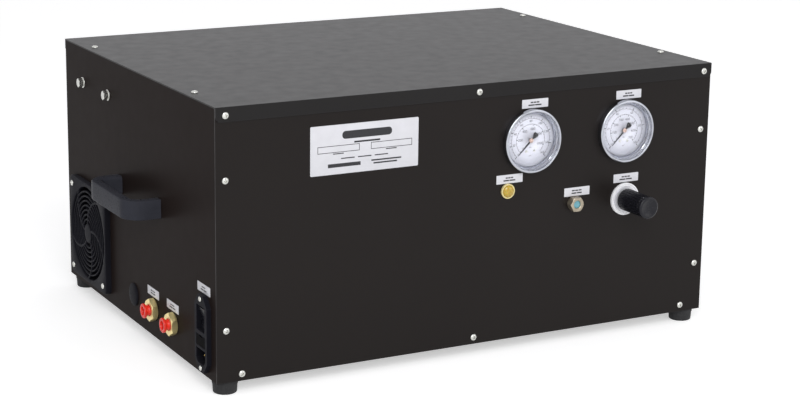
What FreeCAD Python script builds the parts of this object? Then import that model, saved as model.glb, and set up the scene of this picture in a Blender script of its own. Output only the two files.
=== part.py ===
"""Refrigerated air dryer in a sheet-metal cabinet, built as separate pieces.

Millimetres, +Z up, +X to the right as seen from the gauges, +Y towards the back.
The origin is on the floor, under the middle of the machine's bounding box.
"""
import FreeCAD
import Part
import Sketcher
import math
import os
import re

Vector = FreeCAD.Vector

# Driving dimensions: alias, millimetres (or a count), what it measures.
SIZES = [
    ("cabinet_wide", 630, "cabinet, left to right"),
    ("cabinet_deep", 470, "cabinet, front panel to rear panel"),
    ("cabinet_high", 300, "cabinet, pan to lid, without feet"),
    ("sheet_thick", 1.5, "all sheet-metal panels"),
    ("lip_high", 16, "lid lip over the front and rear panels"),
    ("lip_corner", 4, "chamfer at the lower ends of the lid lip"),
    ("return_flange", 16, "flange behind the front and rear panels"),
    ("top_flange", 26, "flange of a side panel under the lid"),
    ("pan_flange", 18, "upturned front and rear edges of the base pan"),
    ("pan_side_flange", 7, "upturned side edges of the base pan"),
    # feet
    ("foot_high", 15, "rubber foot"),
    ("foot_radius", 14.2, "rubber foot at the pan"),
    ("foot_taper", 1.2, "rubber foot, narrower at the floor by this"),
    ("foot_inset", 16, "foot centre from the cabinet's sides"),
    ("foot_recess_radius", 6, "recess for the foot screw"),
    ("foot_recess_deep", 7, "recess for the foot screw"),
    # casing screws
    ("screw_head_radius", 3.9, "domed head"),
    ("screw_head_high", 2.4, "domed head"),
    ("screw_shank_radius", 2, "thread outside"),
    ("screw_shank_long", 9, "under the head"),
    ("screw_clearance", 0.2, "hole over shank, on the radius"),
    ("cross_arm", 2.1, "cross recess, half length"),
    ("cross_half", 0.5, "cross recess, half width"),
    ("cross_deep", 1.2, "cross recess depth"),
    ("panel_screw_inset", 11, "panel screws from the side edges"),
    ("panel_screw_top", 221.5, "upper panel screws above the pan"),
    ("panel_screw_low", 58, "lower panel screws above the pan"),
    ("pan_screw_high", 8, "bottom row above the pan"),
    ("pan_screw_inset", 29, "bottom row from the side edges"),
    ("lip_screw_drop", 9, "lip screws below the lid's top"),
    ("lid_screw_inset", 12, "lid screws from the side edges"),
    ("lid_screw_front", 83, "lid screws from the front panel"),
    ("lid_screw_back", 74, "lid screws from the rear panel"),
    # carrying handles
    ("handle_long", 136, "front to back"),
    ("handle_tall", 22, "bottom to top"),
    ("handle_reach", 40, "from the side panel"),
    ("handle_leg", 14, "leg, front to back"),
    ("handle_grip", 13, "grip thickness"),
    ("handle_corner", 24, "outer corner radius"),
    ("handle_inner_corner", 10, "inner corner radius"),
    ("handle_edge", 4, "rounding of the long edges"),
    ("handle_from_front", 223, "middle of the handle from the front panel"),
    ("handle_from_pan", 156, "middle of the handle above the pan"),
    ("handle_bolt_radius", 2.5, "bolt into each leg"),
    ("handle_bolt_deep", 20, "blind hole in each leg"),
    ("handle_bolt_head_radius", 4.5, "bolt head inside the cabinet"),
    ("handle_bolt_head_high", 3.2, "bolt head inside the cabinet"),
    # cooling fan and its guard
    ("fan_from_front", 384, "fan axis from the front panel"),
    ("fan_from_pan", 72.4, "fan axis above the pan"),
    ("fan_deep", 38, "fan frame along its axis"),
    ("fan_hole_spacing", 105, "mounting holes, on a square"),
    ("fan_hole_margin", 7.5, "holes from the fan frame's edges"),
    ("fan_rim", 2.5, "fan frame beside the air passage"),
    ("fan_tip_gap", 2, "blade tips from the frame"),
    ("fan_corner", 8, "corner radius of frame and guard"),
    ("fan_hub_radius", 21, "rotor cup"),
    ("fan_motor_radius", 18, "motor seat on the frame"),
    ("fan_motor_deep", 8, "motor seat on the frame"),
    ("fan_strut_wide", 6, "struts from frame to motor seat"),
    ("fan_strut_thick", 4, "struts from frame to motor seat"),
    ("fan_blades", 7, "count"),
    ("fan_blade_chord", 30, "along the fan's axis and around it"),
    ("fan_blade_thick", 1.8, "blade"),
    ("fan_shaft_radius", 2.5, "rotor shaft"),
    ("running_gap", 0.06, "shaft in bearing, on the radius"),
    ("guard_overhang", 2.5, "guard beyond the fan frame, each side"),
    ("guard_thick", 7, "guard frame"),
    ("guard_wall", 3, "guard frame outside the air passage"),
    ("guard_disc_radius", 12, "solid middle of the guard"),
    ("guard_rib_thick", 3, "rings and spokes, along the axis"),
    ("guard_ring_wide", 2, "rings, across"),
    ("guard_ring_count", 7, "count"),
    ("guard_spoke_wide", 3.2, "spokes, across"),
    ("guard_spoke_count", 5, "count"),
    ("guard_screw_radius", 1.9, "screw shank"),
    ("guard_screw_head", 3.5, "screw head radius"),
    ("guard_screw_high", 2.2, "screw head"),
    ("guard_screw_long", 30, "under the head"),
    # bracket bolts on the left side
    ("bracket_bolt_rear", 407, "rear bolt from the front panel"),
    ("bracket_bolt_front", 320, "front bolt from the front panel"),
    ("bracket_bolt_high", 256, "bolts above the pan"),
    ("bolt_across", 10, "hex bolt across flats"),
    ("bolt_head_high", 5.6, "hex bolt head"),
    ("bolt_radius", 3, "hex bolt thread"),
    ("bolt_long", 12, "under the head"),
    ("washer_radius", 6.6, "plain washer"),
    ("washer_thick", 1.2, "plain washer"),
    # air ports
    ("rear_port_from_front", 180, "rear port from the front panel"),
    ("front_port_from_front", 121, "front port from the front panel"),
    ("port_from_pan", 32.5, "ports above the pan"),
    ("port_hex_across", 24, "outer hexagon across flats"),
    ("port_hex_thick", 7.5, "outer hexagon"),
    ("port_thread_radius", 10.4, "body through the panel"),
    ("port_inside_long", 22, "body inside the cabinet"),
    ("port_bore_radius", 6.8, "female thread, as a plain bore"),
    ("locknut_across", 28, "inner locknut across flats"),
    ("locknut_thick", 5, "inner locknut"),
    ("port_clearance", 0.4, "panel hole over body, on the radius"),
    ("plug_flange_radius", 8.5, "transit plug"),
    ("plug_flange_thick", 3, "transit plug"),
    ("plug_neck_radius", 6.4, "transit plug"),
    ("plug_reach", 14.5, "transit plug from the panel"),
    ("plug_deep", 9, "transit plug inside the port"),
    ("plug_bore_radius", 4.6, "hollow of the transit plug"),
    ("plug_floor", 2, "closed end of the transit plug"),
    # spare-hole plug
    ("blank_from_front", 243.4, "hole plug from the front panel"),
    ("blank_from_pan", 33, "hole plug above the pan"),
    ("blank_radius", 13.5, "hole plug"),
    ("blank_high", 3.6, "hole plug dome"),
    ("blank_hole_radius", 10.5, "hole it closes"),
    ("blank_stem_long", 8, "snap stem inside"),
    # power inlet with switch and fuse drawer
    ("inlet_from_front", 31, "middle of the inlet from the front panel"),
    ("inlet_from_pan", 48.3, "middle of the inlet above the pan"),
    ("inlet_wide", 33, "flange"),
    ("inlet_high", 86, "flange with its ears"),
    ("inlet_ear", 12, "height of each tapered ear"),
    ("inlet_ear_wide", 13, "ear at its end"),
    ("inlet_flange", 5.5, "flange"),
    ("inlet_body_wide", 29, "body inside the cabinet"),
    ("inlet_body_deep", 34, "body inside the cabinet"),
    ("inlet_body_low", 35.5, "body below the middle"),
    ("inlet_body_up", 33.5, "body above the middle"),
    ("inlet_clearance", 0.4, "panel cut-out over the body"),
    ("inlet_screw_drop", 38.7, "screws from the middle"),
    ("inlet_screw_radius", 1.5, "screw shank"),
    ("inlet_screw_head", 2.9, "screw head radius"),
    ("inlet_screw_high", 1.8, "screw head"),
    ("inlet_screw_long", 14, "under the head"),
    ("socket_wide", 24.4, "mains socket recess"),
    ("socket_high", 16.6, "mains socket recess"),
    ("socket_low", 34, "bottom of the recess below the middle"),
    ("socket_corner", 4.5, "chamfered lower corners"),
    ("socket_deep", 22, "recess from the flange's face"),
    ("pin_wide", 4, "contact blade"),
    ("pin_thick", 2, "contact blade"),
    ("pin_long", 15, "contact blade in the recess"),
    ("pin_tail", 8, "tail behind the body"),
    ("pin_spread", 7, "line and neutral from the middle"),
    ("pin_rise", 2, "earth above, the others below, the recess middle"),
    ("drawer_wide", 24, "fuse drawer front"),
    ("drawer_high", 12.6, "fuse drawer front"),
    ("drawer_low", 14.6, "bottom of the drawer below the middle"),
    ("drawer_deep", 30, "fuse drawer"),
    ("drawer_gap", 0.3, "drawer in its slot, all round"),
    ("fuse_radius", 2.5, "fuse"),
    ("fuse_long", 20, "fuse"),
    ("fuse_gap", 0.2, "fuse in the drawer, on the radius"),
    ("fuse_spread", 6, "fuses from the drawer's middle"),
    ("switch_wide", 22, "rocker recess"),
    ("switch_high", 28.4, "rocker recess"),
    ("switch_low", 2.4, "bottom of the recess above the middle"),
    ("switch_deep", 18, "rocker recess"),
    ("rocker_gap", 0.6, "rocker in the recess, each side"),
    ("rocker_half", 12.6, "rocker, half height"),
    ("rocker_crest", 5.5, "rocker ends above the pivot"),
    ("rocker_dip", 3.4, "rocker middle above the pivot"),
    ("rocker_keel", 4, "rocker below the pivot"),
    ("rocker_pivot_deep", 8.5, "pivot behind the flange's face"),
    ("rocker_pin_radius", 1.5, "pivot pins"),
    ("rocker_pin_long", 1.6, "pivot pins into the housing"),
    ("rocker_tilt", 8, "degrees from level, each way"),
    # pressure gauges
    ("gauge_left_at", 384, "left gauge from the cabinet's left side"),
    ("gauge_right_at", 510.5, "right gauge from the cabinet's left side"),
    ("gauge_high", 229.8, "gauges above the pan"),
    ("bezel_radius", 36.5, "polished bezel"),
    ("bezel_reach", 8, "bezel from the panel"),
    ("bezel_base_radius", 33.4, "inner edge where the bezel meets the case"),
    ("bezel_window_radius", 28.4, "inner edge at the dial"),
    ("bezel_round", 2, "rounding of the front outer edge"),
    ("lens_radius", 30.6, "window glass"),
    ("lens_thick", 2, "window glass"),
    ("lens_seat", 4.6, "back of the glass from the panel"),
    ("case_radius", 33, "gauge case"),
    ("case_wall", 1.6, "gauge case"),
    ("case_deep", 32, "gauge case behind the panel's face"),
    ("dial_radius", 30.8, "dial plate"),
    ("dial_thick", 0.8, "dial plate"),
    ("dial_drop", 0.4, "dial face behind the panel's face"),
    ("dial_hole_radius", 1.3, "hole for the spindle"),
    ("pointer_tip", 22, "pointer from its axis"),
    ("pointer_tail", 9, "counterweight end"),
    ("pointer_thick", 0.5, "pointer"),
    ("pointer_lift", 1, "pointer in front of the panel's face"),
    ("pointer_hub_radius", 3.2, "pointer hub"),
    ("spindle_radius", 0.9, "pointer spindle"),
    ("spindle_deep", 9, "spindle behind the panel's face"),
    ("movement_radius", 12, "movement frame"),
    ("movement_front", 3, "movement behind the panel's face"),
    ("movement_deep", 9, "movement frame"),
    ("gauge_stem_radius", 6.5, "threaded stem"),
    ("gauge_stem_long", 18, "stem behind the case"),
    # pilot lamp
    ("pilot_at", 355, "lamp from the cabinet's left side"),
    ("pilot_high", 174.3, "lamp above the pan"),
    ("pilot_rim_radius", 8.5, "lamp rim"),
    ("pilot_rim_high", 2.6, "lamp rim"),
    ("pilot_lens_radius", 6.9, "lamp lens"),
    ("pilot_reach", 5.8, "lens from the panel"),
    ("pilot_barrel_radius", 6.2, "barrel through the panel"),
    ("pilot_barrel_long", 26, "barrel behind the panel's face"),
    ("pilot_nut_radius", 9, "nut inside"),
    ("pilot_nut_thick", 3, "nut inside"),
    # moisture indicator
    ("sight_at", 444.3, "moisture indicator from the cabinet's left side"),
    ("sight_high", 150.5, "moisture indicator above the pan"),
    ("sight_across", 16, "hexagon across flats"),
    ("sight_reach", 9, "hexagon from the panel"),
    ("sight_bore_radius", 4.4, "window recess"),
    ("sight_bore_deep", 3, "window recess"),
    ("sight_window_thick", 1.6, "window"),
    ("sight_body_radius", 7, "body through the panel"),
    ("sight_body_long", 24, "body behind the panel's face"),
    # pressure regulator
    ("regulator_at", 514.3, "regulator from the cabinet's left side"),
    ("regulator_high", 148.4, "regulator above the pan"),
    ("ring_radius", 19.15, "panel nut"),
    ("ring_thick", 3, "panel nut"),
    ("neck_radius", 15, "bonnet neck through the panel"),
    ("neck_reach", 3.8, "neck from the panel"),
    ("neck_clearance", 0.3, "panel hole and nut over the neck"),
    ("bonnet_radius", 22, "bonnet behind the panel"),
    ("bonnet_deep", 44, "bonnet behind the panel's face"),
    ("bonnet_bore", 11.5, "spring chamber"),
    ("bonnet_top", 5, "wall around the adjusting screw"),
    ("body_side", 52, "regulator body, square"),
    ("body_deep", 40, "regulator body"),
    ("port_tube_radius", 4, "air tube outside"),
    ("stem_radius", 4, "adjusting screw"),
    ("stem_reach", 40, "adjusting screw from the panel"),
    ("stem_collar_radius", 8, "collar under the bonnet's wall"),
    ("stem_collar_thick", 4, "collar under the bonnet's wall"),
    ("knob_base_radius", 13, "knob near the panel"),
    ("knob_end_radius", 12.5, "knob end"),
    ("knob_start", 5, "knob from the panel"),
    ("knob_reach", 50, "knob end from the panel"),
    ("knob_bore_end", 44.5, "blind end of the knob's bore"),
    ("knob_rounding", 2, "knob end edge"),
    ("flute_count", 24, "count"),
    ("flute_radius", 1, "half-round flutes"),
    ("flute_margin", 6, "plain band at the knob's end"),
    ("spring_coil_radius", 8.4, "middle of the spring wire"),
    ("spring_wire", 1.1, "spring wire radius"),
    ("spring_turns", 5, "count"),
    ("spring_end_gap", 0.3, "spring ends from their seats"),
    # plates on the panels
    ("plate_thick", 0.6, "name plate"),
    ("plate_left", 109, "name plate from the cabinet's left side"),
    ("plate_wide", 130.5, "name plate"),
    ("plate_low", 215.5, "name plate above the pan"),
    ("plate_high", 54, "name plate"),
    ("label_wide", 34.2, "small labels"),
    ("label_high", 10, "small labels"),
    ("label_thick", 0.4, "small labels"),
    ("gauge_label_low", 266.8, "gauge labels above the pan"),
    ("gauge_label_offset", 4.5, "label left of the gauge's axis"),
    ("pilot_label_low", 183, "lamp label above the pan"),
    ("pilot_label_offset", 2.5, "label right of the lamp's axis"),
    ("sight_label_low", 159, "indicator label above the pan"),
    ("sight_label_offset", 4, "label right of the indicator's axis"),
    ("regulator_label_low", 168.4, "regulator label above the pan"),
    ("regulator_label_offset", 1.2, "label right of the regulator's axis"),
    ("port_label_low", 47, "port labels above the pan"),
    ("port_label_offset", 2.2, "label behind the port's axis"),
    ("inlet_label_low", 92, "inlet label above the pan"),
    # compressor
    ("compressor_x", -100, "compressor axis"),
    ("compressor_back", 350, "compressor axis from the front panel"),
    ("compressor_radius", 72, "shell"),
    ("compressor_high", 165, "shell and its rounded ends"),
    ("compressor_lift", 14, "base plate above the pan"),
    ("compressor_plate", 3, "base plate"),
    ("compressor_plate_side", 160, "base plate, square"),
    ("seam_radius", 76, "welded seam"),
    ("seam_high", 8, "welded seam"),
    ("cover_wide", 54, "terminal cover"),
    ("cover_deep", 22, "terminal cover"),
    ("cover_high", 62, "terminal cover"),
    ("grommet_radius", 12, "rubber mount"),
    ("grommet_inset", 14, "mount from the plate's edges"),
    ("grommet_stud_radius", 3, "stud through the mount"),
    ("grommet_stud_gap", 0.3, "mount bore over the stud"),
    ("stud_nut_radius", 6, "nut on the stud"),
    ("stud_nut_thick", 5, "nut on the stud"),
    # condenser
    ("condenser_from_fan", 8, "gap between fan and condenser"),
    ("condenser_deep", 36, "through the fins"),
    ("condenser_wide", 132, "front to back"),
    ("condenser_high", 128, "bottom to top"),
    ("condenser_lift", 4, "fins above the pan"),
    ("fin_count", 20, "count"),
    ("fin_thick", 0.5, "fin"),
    ("condenser_tube_radius", 4, "tube"),
    ("condenser_passes", 6, "count; even, so that both ends are at the front"),
    ("condenser_pitch", 20, "between tube passes"),
    # heat exchanger with evaporator
    ("exchanger_x", 130, "middle of the insulated block"),
    ("exchanger_back", 340, "middle from the front panel"),
    ("exchanger_wide", 230, "left to right"),
    ("exchanger_deep", 140, "front to back"),
    ("exchanger_high", 190, "bottom to top"),
    ("exchanger_foam", 15, "insulation"),
    ("exchanger_round", 10, "rounded upright edges"),
    ("exchanger_stand", 20, "stand under the block"),
    # filter drier
    ("drier_x", 0, "axis"),
    ("drier_back", 250, "axis from the front panel"),
    ("drier_low", 60, "lower end above the pan"),
    ("drier_long", 110, "filter drier"),
    ("drier_radius", 12, "filter drier"),
    ("pipe_radius", 3.2, "copper pipe"),
    ("pipe_bend", 12, "copper pipe, bend radius"),
    ("pipe_rise", 30, "copper pipes above the compressor and the heat exchanger"),
    ("suction_inset", 40, "suction pipe from the heat exchanger's left side"),
    ("capillary_radius", 1.2, "capillary"),
    ("capillary_coil", 18, "capillary coil radius"),
    ("capillary_turns", 4, "count"),
    ("capillary_pitch", 3.2, "between turns"),
    # air treatment
    ("tube_bend", 16, "air tube, bend radius"),
    ("tube_standoff", 36, "air tubes in front of the heat exchanger"),
    ("tube_inset", 20, "air tubes from the heat exchanger's right side"),
    ("tube_depth", 5, "air tubes inside the bulkhead fittings"),
    ("separator_from_left", 110, "axis from the cabinet's left side"),
    ("separator_back", 60, "axis from the front panel"),
    ("separator_radius", 26, "bowl"),
    ("separator_low", 56, "bowl bottom above the pan"),
    ("separator_high", 110, "bowl"),
    ("separator_cap", 24, "head"),
    ("drain_radius", 9, "drain valve"),
    ("drain_long", 26, "drain valve"),
    ("drain_nose", 8, "narrow outlet of the drain valve"),
    # bracket and control box
    ("bracket_long", 130, "front to back"),
    ("bracket_leg", 34, "leg against the side panel"),
    ("bracket_shelf", 76, "shelf into the cabinet"),
    ("bracket_thick", 2, "bracket"),
    ("box_wide", 54, "control box, left to right"),
    ("box_deep", 112, "control box, front to back"),
    ("box_high", 52, "control box"),
    # air intake, right side
    ("vent_count", 9, "count"),
    ("vent_long", 110, "slot"),
    ("vent_high", 5, "slot"),
    ("vent_pitch", 13, "between slots"),
    ("vent_from_front", 345, "middle of the slots from the front panel"),
    ("vent_from_pan", 60, "lowest slot above the pan"),
]


class Size:
    """An arithmetic expression of the sheet's cells, kept as text so properties can be bound to it."""

    def __init__(self, text):
        self.text = str(text)

    def join(self, sign, other, swapped=False):
        left, right = self.text, as_size(other).text
        if swapped:
            left, right = right, left
        return Size(f"({left} {sign} {right})")

    def __add__(self, other):
        return self.join("+", other)

    def __radd__(self, other):
        return self.join("+", other, True)

    def __sub__(self, other):
        return self.join("-", other)

    def __rsub__(self, other):
        return self.join("-", other, True)

    def __mul__(self, other):
        return self.join("*", other)

    def __rmul__(self, other):
        return self.join("*", other, True)

    def __truediv__(self, other):
        return self.join("/", other)

    def __neg__(self):
        return Size(f"(0 - {self.text})")


def as_size(number):
    """A plain number as a Size; a Size as it is."""
    return number if isinstance(number, Size) else Size(repr(float(number)))


class Sheet:
    """The driving dimensions, read as attributes: sheet.cabinet_wide."""

    def __init__(self, document):
        self.cells = document.addObject("Spreadsheet::Sheet", "Sizes")
        for row, (alias, number, meaning) in enumerate(SIZES, 1):
            self.cells.set(f"A{row}", alias)
            self.cells.set(f"B{row}", str(number))
            self.cells.set(f"C{row}", meaning)
            self.cells.setAlias(f"B{row}", alias)
            setattr(self, alias, Size(f"Sizes.{alias}"))
        document.recompute()


document = FreeCAD.newDocument("air_dryer")
sheet = Sheet(document)
subparts = []

UP = Vector(0, 0, 1)
FRONT = Vector(0, -1, 0)
BACK = Vector(0, 1, 0)
LEFT = Vector(-1, 0, 0)
RIGHT = Vector(1, 0, 0)
COS_30 = math.cos(math.radians(30))

# Faces that most pieces are placed from.
left_face = -sheet.cabinet_wide / 2
right_face = sheet.cabinet_wide / 2
rear_reach = sheet.sheet_thick + sheet.screw_head_high
front_face = (sheet.knob_reach - sheet.cabinet_deep - rear_reach) / 2
rear_face = front_face + sheet.cabinet_deep
pan_bottom = sheet.foot_high
pan_top = pan_bottom + sheet.sheet_thick
lid_top = pan_bottom + sheet.cabinet_high
lid_under = lid_top - sheet.sheet_thick
screw_hole = sheet.screw_shank_radius + sheet.screw_clearance
fan_half = sheet.fan_hole_spacing / 2 + sheet.fan_hole_margin
fan_bore = fan_half - sheet.fan_rim
guard_half = fan_half + sheet.guard_overhang


# ---------------------------------------------------------------- building blocks

def value(size):
    """The number that a Size stands for now."""
    return float(sheet.cells.evalExpression(as_size(size).text))


def bind(thing, prop, size):
    """Tie one property to the sheet."""
    thing.setExpression(prop, as_size(size).text)


def circle(across, up, radius):
    return ("circle", across, up, radius)


def rectangle(left, low, right, high):
    return [(left, low), (right, low), (right, high), (left, high)]


def rounded_rectangle(left, low, right, high, radius):
    """Rectangle with four arcs, anticlockwise from the lower edge."""
    return [(left + radius, low), (right - radius, low, radius),
            (right, low + radius), (right, high - radius, radius),
            (right - radius, high), (left + radius, high, radius),
            (left, high - radius), (left, low + radius, radius)]


def hexagon(across_flats, pointed_up=False):
    """Hexagon about the origin, with corners on the first axis or, pointed_up, on the second."""
    corner = across_flats / (2 * COS_30)
    start = 30 if pointed_up else 0
    angles = [math.radians(start + 60 * step) for step in range(6)]
    return [(corner * math.cos(angle), corner * math.sin(angle)) for angle in angles]


def cross(arm, half):
    """Plus-shaped outline about the origin."""
    quarter = [(arm, -half), (arm, half), (half, half)]
    corners = []
    for _ in range(4):
        corners += quarter
        quarter = [(-up, across) for across, up in quarter]
    return corners


def origin_plane(body, role):
    return next(item for item in body.Origin.OriginFeatures if item.Role == role)


def hold(sketch, kind, size, *where):
    """Add one dimension to a sketch and tie it to the sheet."""
    index = sketch.addConstraint(Sketcher.Constraint(kind, *where, value(size)))
    sketch.setExpression(f"Constraints[{index}]", as_size(size).text)


def draw_circle(sketch, across, up, radius):
    centre = Vector(value(across), value(up), 0)
    index = sketch.addGeometry(Part.Circle(centre, UP, value(radius)), False)
    hold(sketch, "Radius", radius, index)
    hold(sketch, "DistanceX", across, -1, 1, index, 3)
    hold(sketch, "DistanceY", up, -1, 1, index, 3)


def arc_between(start, end, radius):
    """Arc from start to end, turning left for a positive radius and right for a negative one."""
    first, last = (start, end) if radius > 0 else (end, start)
    chord = last - first
    rise = math.sqrt(max(radius * radius - chord.Length ** 2 / 4, 0))
    centre = (first + last) * 0.5 + Vector(-chord.y, chord.x, 0).normalize() * rise
    turn = [math.atan2(point.y - centre.y, point.x - centre.x) for point in (first, last)]
    return Part.ArcOfCircle(Part.Circle(centre, UP, abs(radius)), *turn)


def draw_loop(sketch, corners):
    """Closed outline; a corner's third item is the radius of the arc to the next corner."""
    points = [Vector(value(corner[0]), value(corner[1]), 0) for corner in corners]
    ends = []
    for index, corner in enumerate(corners):
        start, end = points[index], points[(index + 1) % len(points)]
        if len(corner) == 3:
            radius = value(corner[2])
            edge = sketch.addGeometry(arc_between(start, end, radius), False)
            ends.append((edge, 1, 2) if radius > 0 else (edge, 2, 1))
            hold(sketch, "Radius", corner[2] if radius > 0 else -corner[2], edge)
        else:
            edge = sketch.addGeometry(Part.LineSegment(start, end), False)
            ends.append((edge, 1, 2))
    for index, (edge, first, last) in enumerate(ends):
        after = ends[(index + 1) % len(ends)]
        sketch.addConstraint(Sketcher.Constraint("Coincident", edge, last, after[0], after[1]))
        hold(sketch, "DistanceX", corners[index][0], -1, 1, edge, first)
        hold(sketch, "DistanceY", corners[index][1], -1, 1, edge, first)


def sketch_on(body, plane, outlines, shift=0):
    """Sketch on one of the body's origin planes, moved along that plane's normal by shift."""
    sketch = body.newObject("Sketcher::SketchObject", f"{body.Name}_outline")
    sketch.AttachmentSupport = [(origin_plane(body, f"{plane}_Plane"), "")]
    sketch.MapMode = "FlatFace"
    bind(sketch, "AttachmentOffset.Base.z", shift)
    for outline in outlines:
        if outline[0] == "circle":
            draw_circle(sketch, *outline[1:])
        else:
            draw_loop(sketch, outline)
    return sketch


def new_body(label):
    return document.addObject("PartDesign::Body", label)


def pad(body, plane, outlines, length, shift=0, reverse=False):
    """Grow outlines along the plane's normal. Normals: XY is +Z, YZ is +X, XZ is -Y."""
    feature = body.newObject("PartDesign::Pad", f"{body.Name}_pad")
    feature.Profile = sketch_on(body, plane, outlines, shift)
    feature.Reversed = reverse
    bind(feature, "Length", length)
    return feature


def cut(body, plane, outlines, depth, shift=0, inward=None):
    """Cut outlines out, half the depth to each side of the plane, or all of it to one side."""
    document.recompute()
    before = body.Shape.Volume
    feature = body.newObject("PartDesign::Pocket", f"{body.Name}_cut")
    feature.Profile = sketch_on(body, plane, outlines, shift)
    if inward is None:
        feature.Midplane = True
    else:
        feature.Reversed = not inward
    bind(feature, "Length", depth)
    document.recompute()
    if body.Shape.Volume >= before:
        raise ValueError(f"{body.Name}: a cut removed nothing")
    return feature


def around(body, feature, count, axis="Z_Axis"):
    """Repeat a feature about one of the body's axes."""
    pattern = body.newObject("PartDesign::PolarPattern", f"{body.Name}_pattern")
    pattern.Originals = [feature]
    pattern.Axis = (origin_plane(body, axis), [""])
    pattern.Angle = 360
    bind(pattern, "Occurrences", count)
    body.Tip = pattern
    return pattern


def turned(label, profile):
    """Solid of revolution about Z from a profile of (radius, height) corners."""
    body = new_body(label)
    feature = body.newObject("PartDesign::Revolution", f"{label}_turn")
    sketch = sketch_on(body, "XZ", [profile])
    feature.Profile = sketch
    feature.ReferenceAxis = (sketch, ["V_Axis"])
    feature.Angle = 360
    return body


def round_edges(body, radius, chosen):
    """Fillet the edges that chosen(edge) picks."""
    document.recompute()
    base = body.Tip
    names = [f"Edge{number}" for number, edge in enumerate(base.Shape.Edges, 1) if chosen(edge)]
    feature = body.newObject("PartDesign::Fillet", f"{body.Name}_round")
    feature.Base = (base, names)
    bind(feature, "Radius", radius)
    return feature


def place(piece, across=0, back=0, up=0, facing=UP):
    """Put a piece in the machine; facing is where its own +Z points."""
    piece.Placement = FreeCAD.Placement(Vector(), FreeCAD.Rotation(UP, facing))
    bind(piece, "Placement.Base.x", across)
    bind(piece, "Placement.Base.y", back)
    bind(piece, "Placement.Base.z", up)
    return piece


def keep(piece):
    subparts.append(piece)
    return piece


def copies_of(pattern, places):
    """Several copies of one piece; places are (across, back, up, facing)."""
    copies = []
    for number, spot in enumerate(places, 1):
        copy = document.addObject("App::Link", f"{pattern.Name}_{number}")
        copy.LinkedObject = pattern
        copies.append(place(copy, *spot))
    return copies


def group(label, pattern, places):
    """Several copies of one piece in one node."""
    return keep(gathered(label, copies_of(pattern, places)))


def gathered(label, pieces):
    """Different pieces that share one node."""
    compound = document.addObject("Part::Compound", label)
    compound.Links = pieces
    return compound


def part_shape(label, shape):
    """A piece whose shape is made by Part's own functions."""
    feature = document.addObject("Part::Feature", label)
    feature.Shape = shape
    feature.Placement = FreeCAD.Placement()
    return feature


def bent_tube(label, points, radius, bend):
    """Round tube along straight runs joined by tangent arcs."""
    corners = [Vector(*(value(part) for part in point)) for point in points]
    edges = []
    start = corners[0]
    for before, corner, after in zip(corners, corners[1:], corners[2:]):
        towards = (corner - before).normalize()
        away = (after - corner).normalize()
        turn = towards.getAngle(away)
        reach = value(bend) * math.tan(turn / 2)
        entry, leave = corner - towards * reach, corner + away * reach
        inside = (away - towards).normalize()
        middle = corner + inside * (value(bend) / math.cos(turn / 2) - value(bend))
        if entry.distanceToPoint(start) > 0.01:
            edges.append(Part.LineSegment(start, entry).toShape())
        edges.append(Part.Arc(entry, middle, leave).toShape())
        start = leave
    edges.append(Part.LineSegment(start, corners[-1]).toShape())
    mouth = Part.Wire([Part.makeCircle(value(radius), corners[0], corners[1] - corners[0])])
    return part_shape(label, Part.Wire(edges).makePipeShell([mouth], True, False))


def coil(label, radius, wire, pitch, turns):
    """Wire wound about +Z, starting at the origin's height."""
    path = Part.makeHelix(value(pitch), value(pitch * turns), value(radius))
    mouth = Part.Wire([Part.makeCircle(value(wire), Vector(value(radius), 0, 0), BACK)])
    return part_shape(label, Part.Wire(path).makePipeShell([mouth], True, True))


# ---------------------------------------------------------------- places on the panels

def on_front(from_left, above_pan, out=0):
    """Spot on the front panel's face, facing forwards."""
    return (left_face + from_left, front_face - out, pan_bottom + above_pan, FRONT)


def on_left(from_front, above_pan, out=0):
    """Spot on the left side panel's face, facing left."""
    return (left_face - out, front_face + from_front, pan_bottom + above_pan, LEFT)


def panel_screw_spots():
    """Screws through the front panel; the rear panel has the same ones."""
    sides = (sheet.panel_screw_inset, sheet.cabinet_wide - sheet.panel_screw_inset)
    spots = [(side, up) for side in sides for up in (sheet.panel_screw_top, sheet.panel_screw_low)]
    low_sides = (sheet.pan_screw_inset, sheet.cabinet_wide / 2, sheet.cabinet_wide - sheet.pan_screw_inset)
    return spots, [(side, sheet.pan_screw_high) for side in low_sides]


def lip_screw_spots():
    """Screws through the lid's lip, as from the left side and above the pan."""
    up = sheet.cabinet_high - sheet.lip_screw_drop
    inset = sheet.panel_screw_inset
    return [(side, up) for side in (inset, sheet.cabinet_wide / 2, sheet.cabinet_wide - inset)]


def lid_screw_spots():
    """Screws through the lid's top, as from the left side and the front panel."""
    sides = (sheet.lid_screw_inset, sheet.cabinet_wide - sheet.lid_screw_inset)
    rows = (sheet.lid_screw_front, sheet.cabinet_deep - sheet.lid_screw_back)
    return [(side, row) for side in sides for row in rows]


def foot_spots():
    across = sheet.cabinet_wide / 2 - sheet.foot_inset
    rows = (front_face + sheet.foot_inset, rear_face - sheet.foot_inset)
    return [(side * across, row) for side in (-1, 1) for row in rows]


def fan_hole_spots(radius):
    """Circles on the fan's four mounting holes, about its axis."""
    half = sheet.fan_hole_spacing / 2
    return [circle(across * half, up * half, radius) for across in (-1, 1) for up in (-1, 1)]


def port_rows():
    """Rear and front air port, from the front panel."""
    return sheet.rear_port_from_front, sheet.front_port_from_front


def compressor_stud_spots():
    reach = sheet.compressor_plate_side / 2 - sheet.grommet_inset
    middle = front_face + sheet.compressor_back
    return [(sheet.compressor_x + across * reach, middle + row * reach)
            for across in (-1, 1) for row in (-1, 1)]


# ---------------------------------------------------------------- casing

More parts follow.
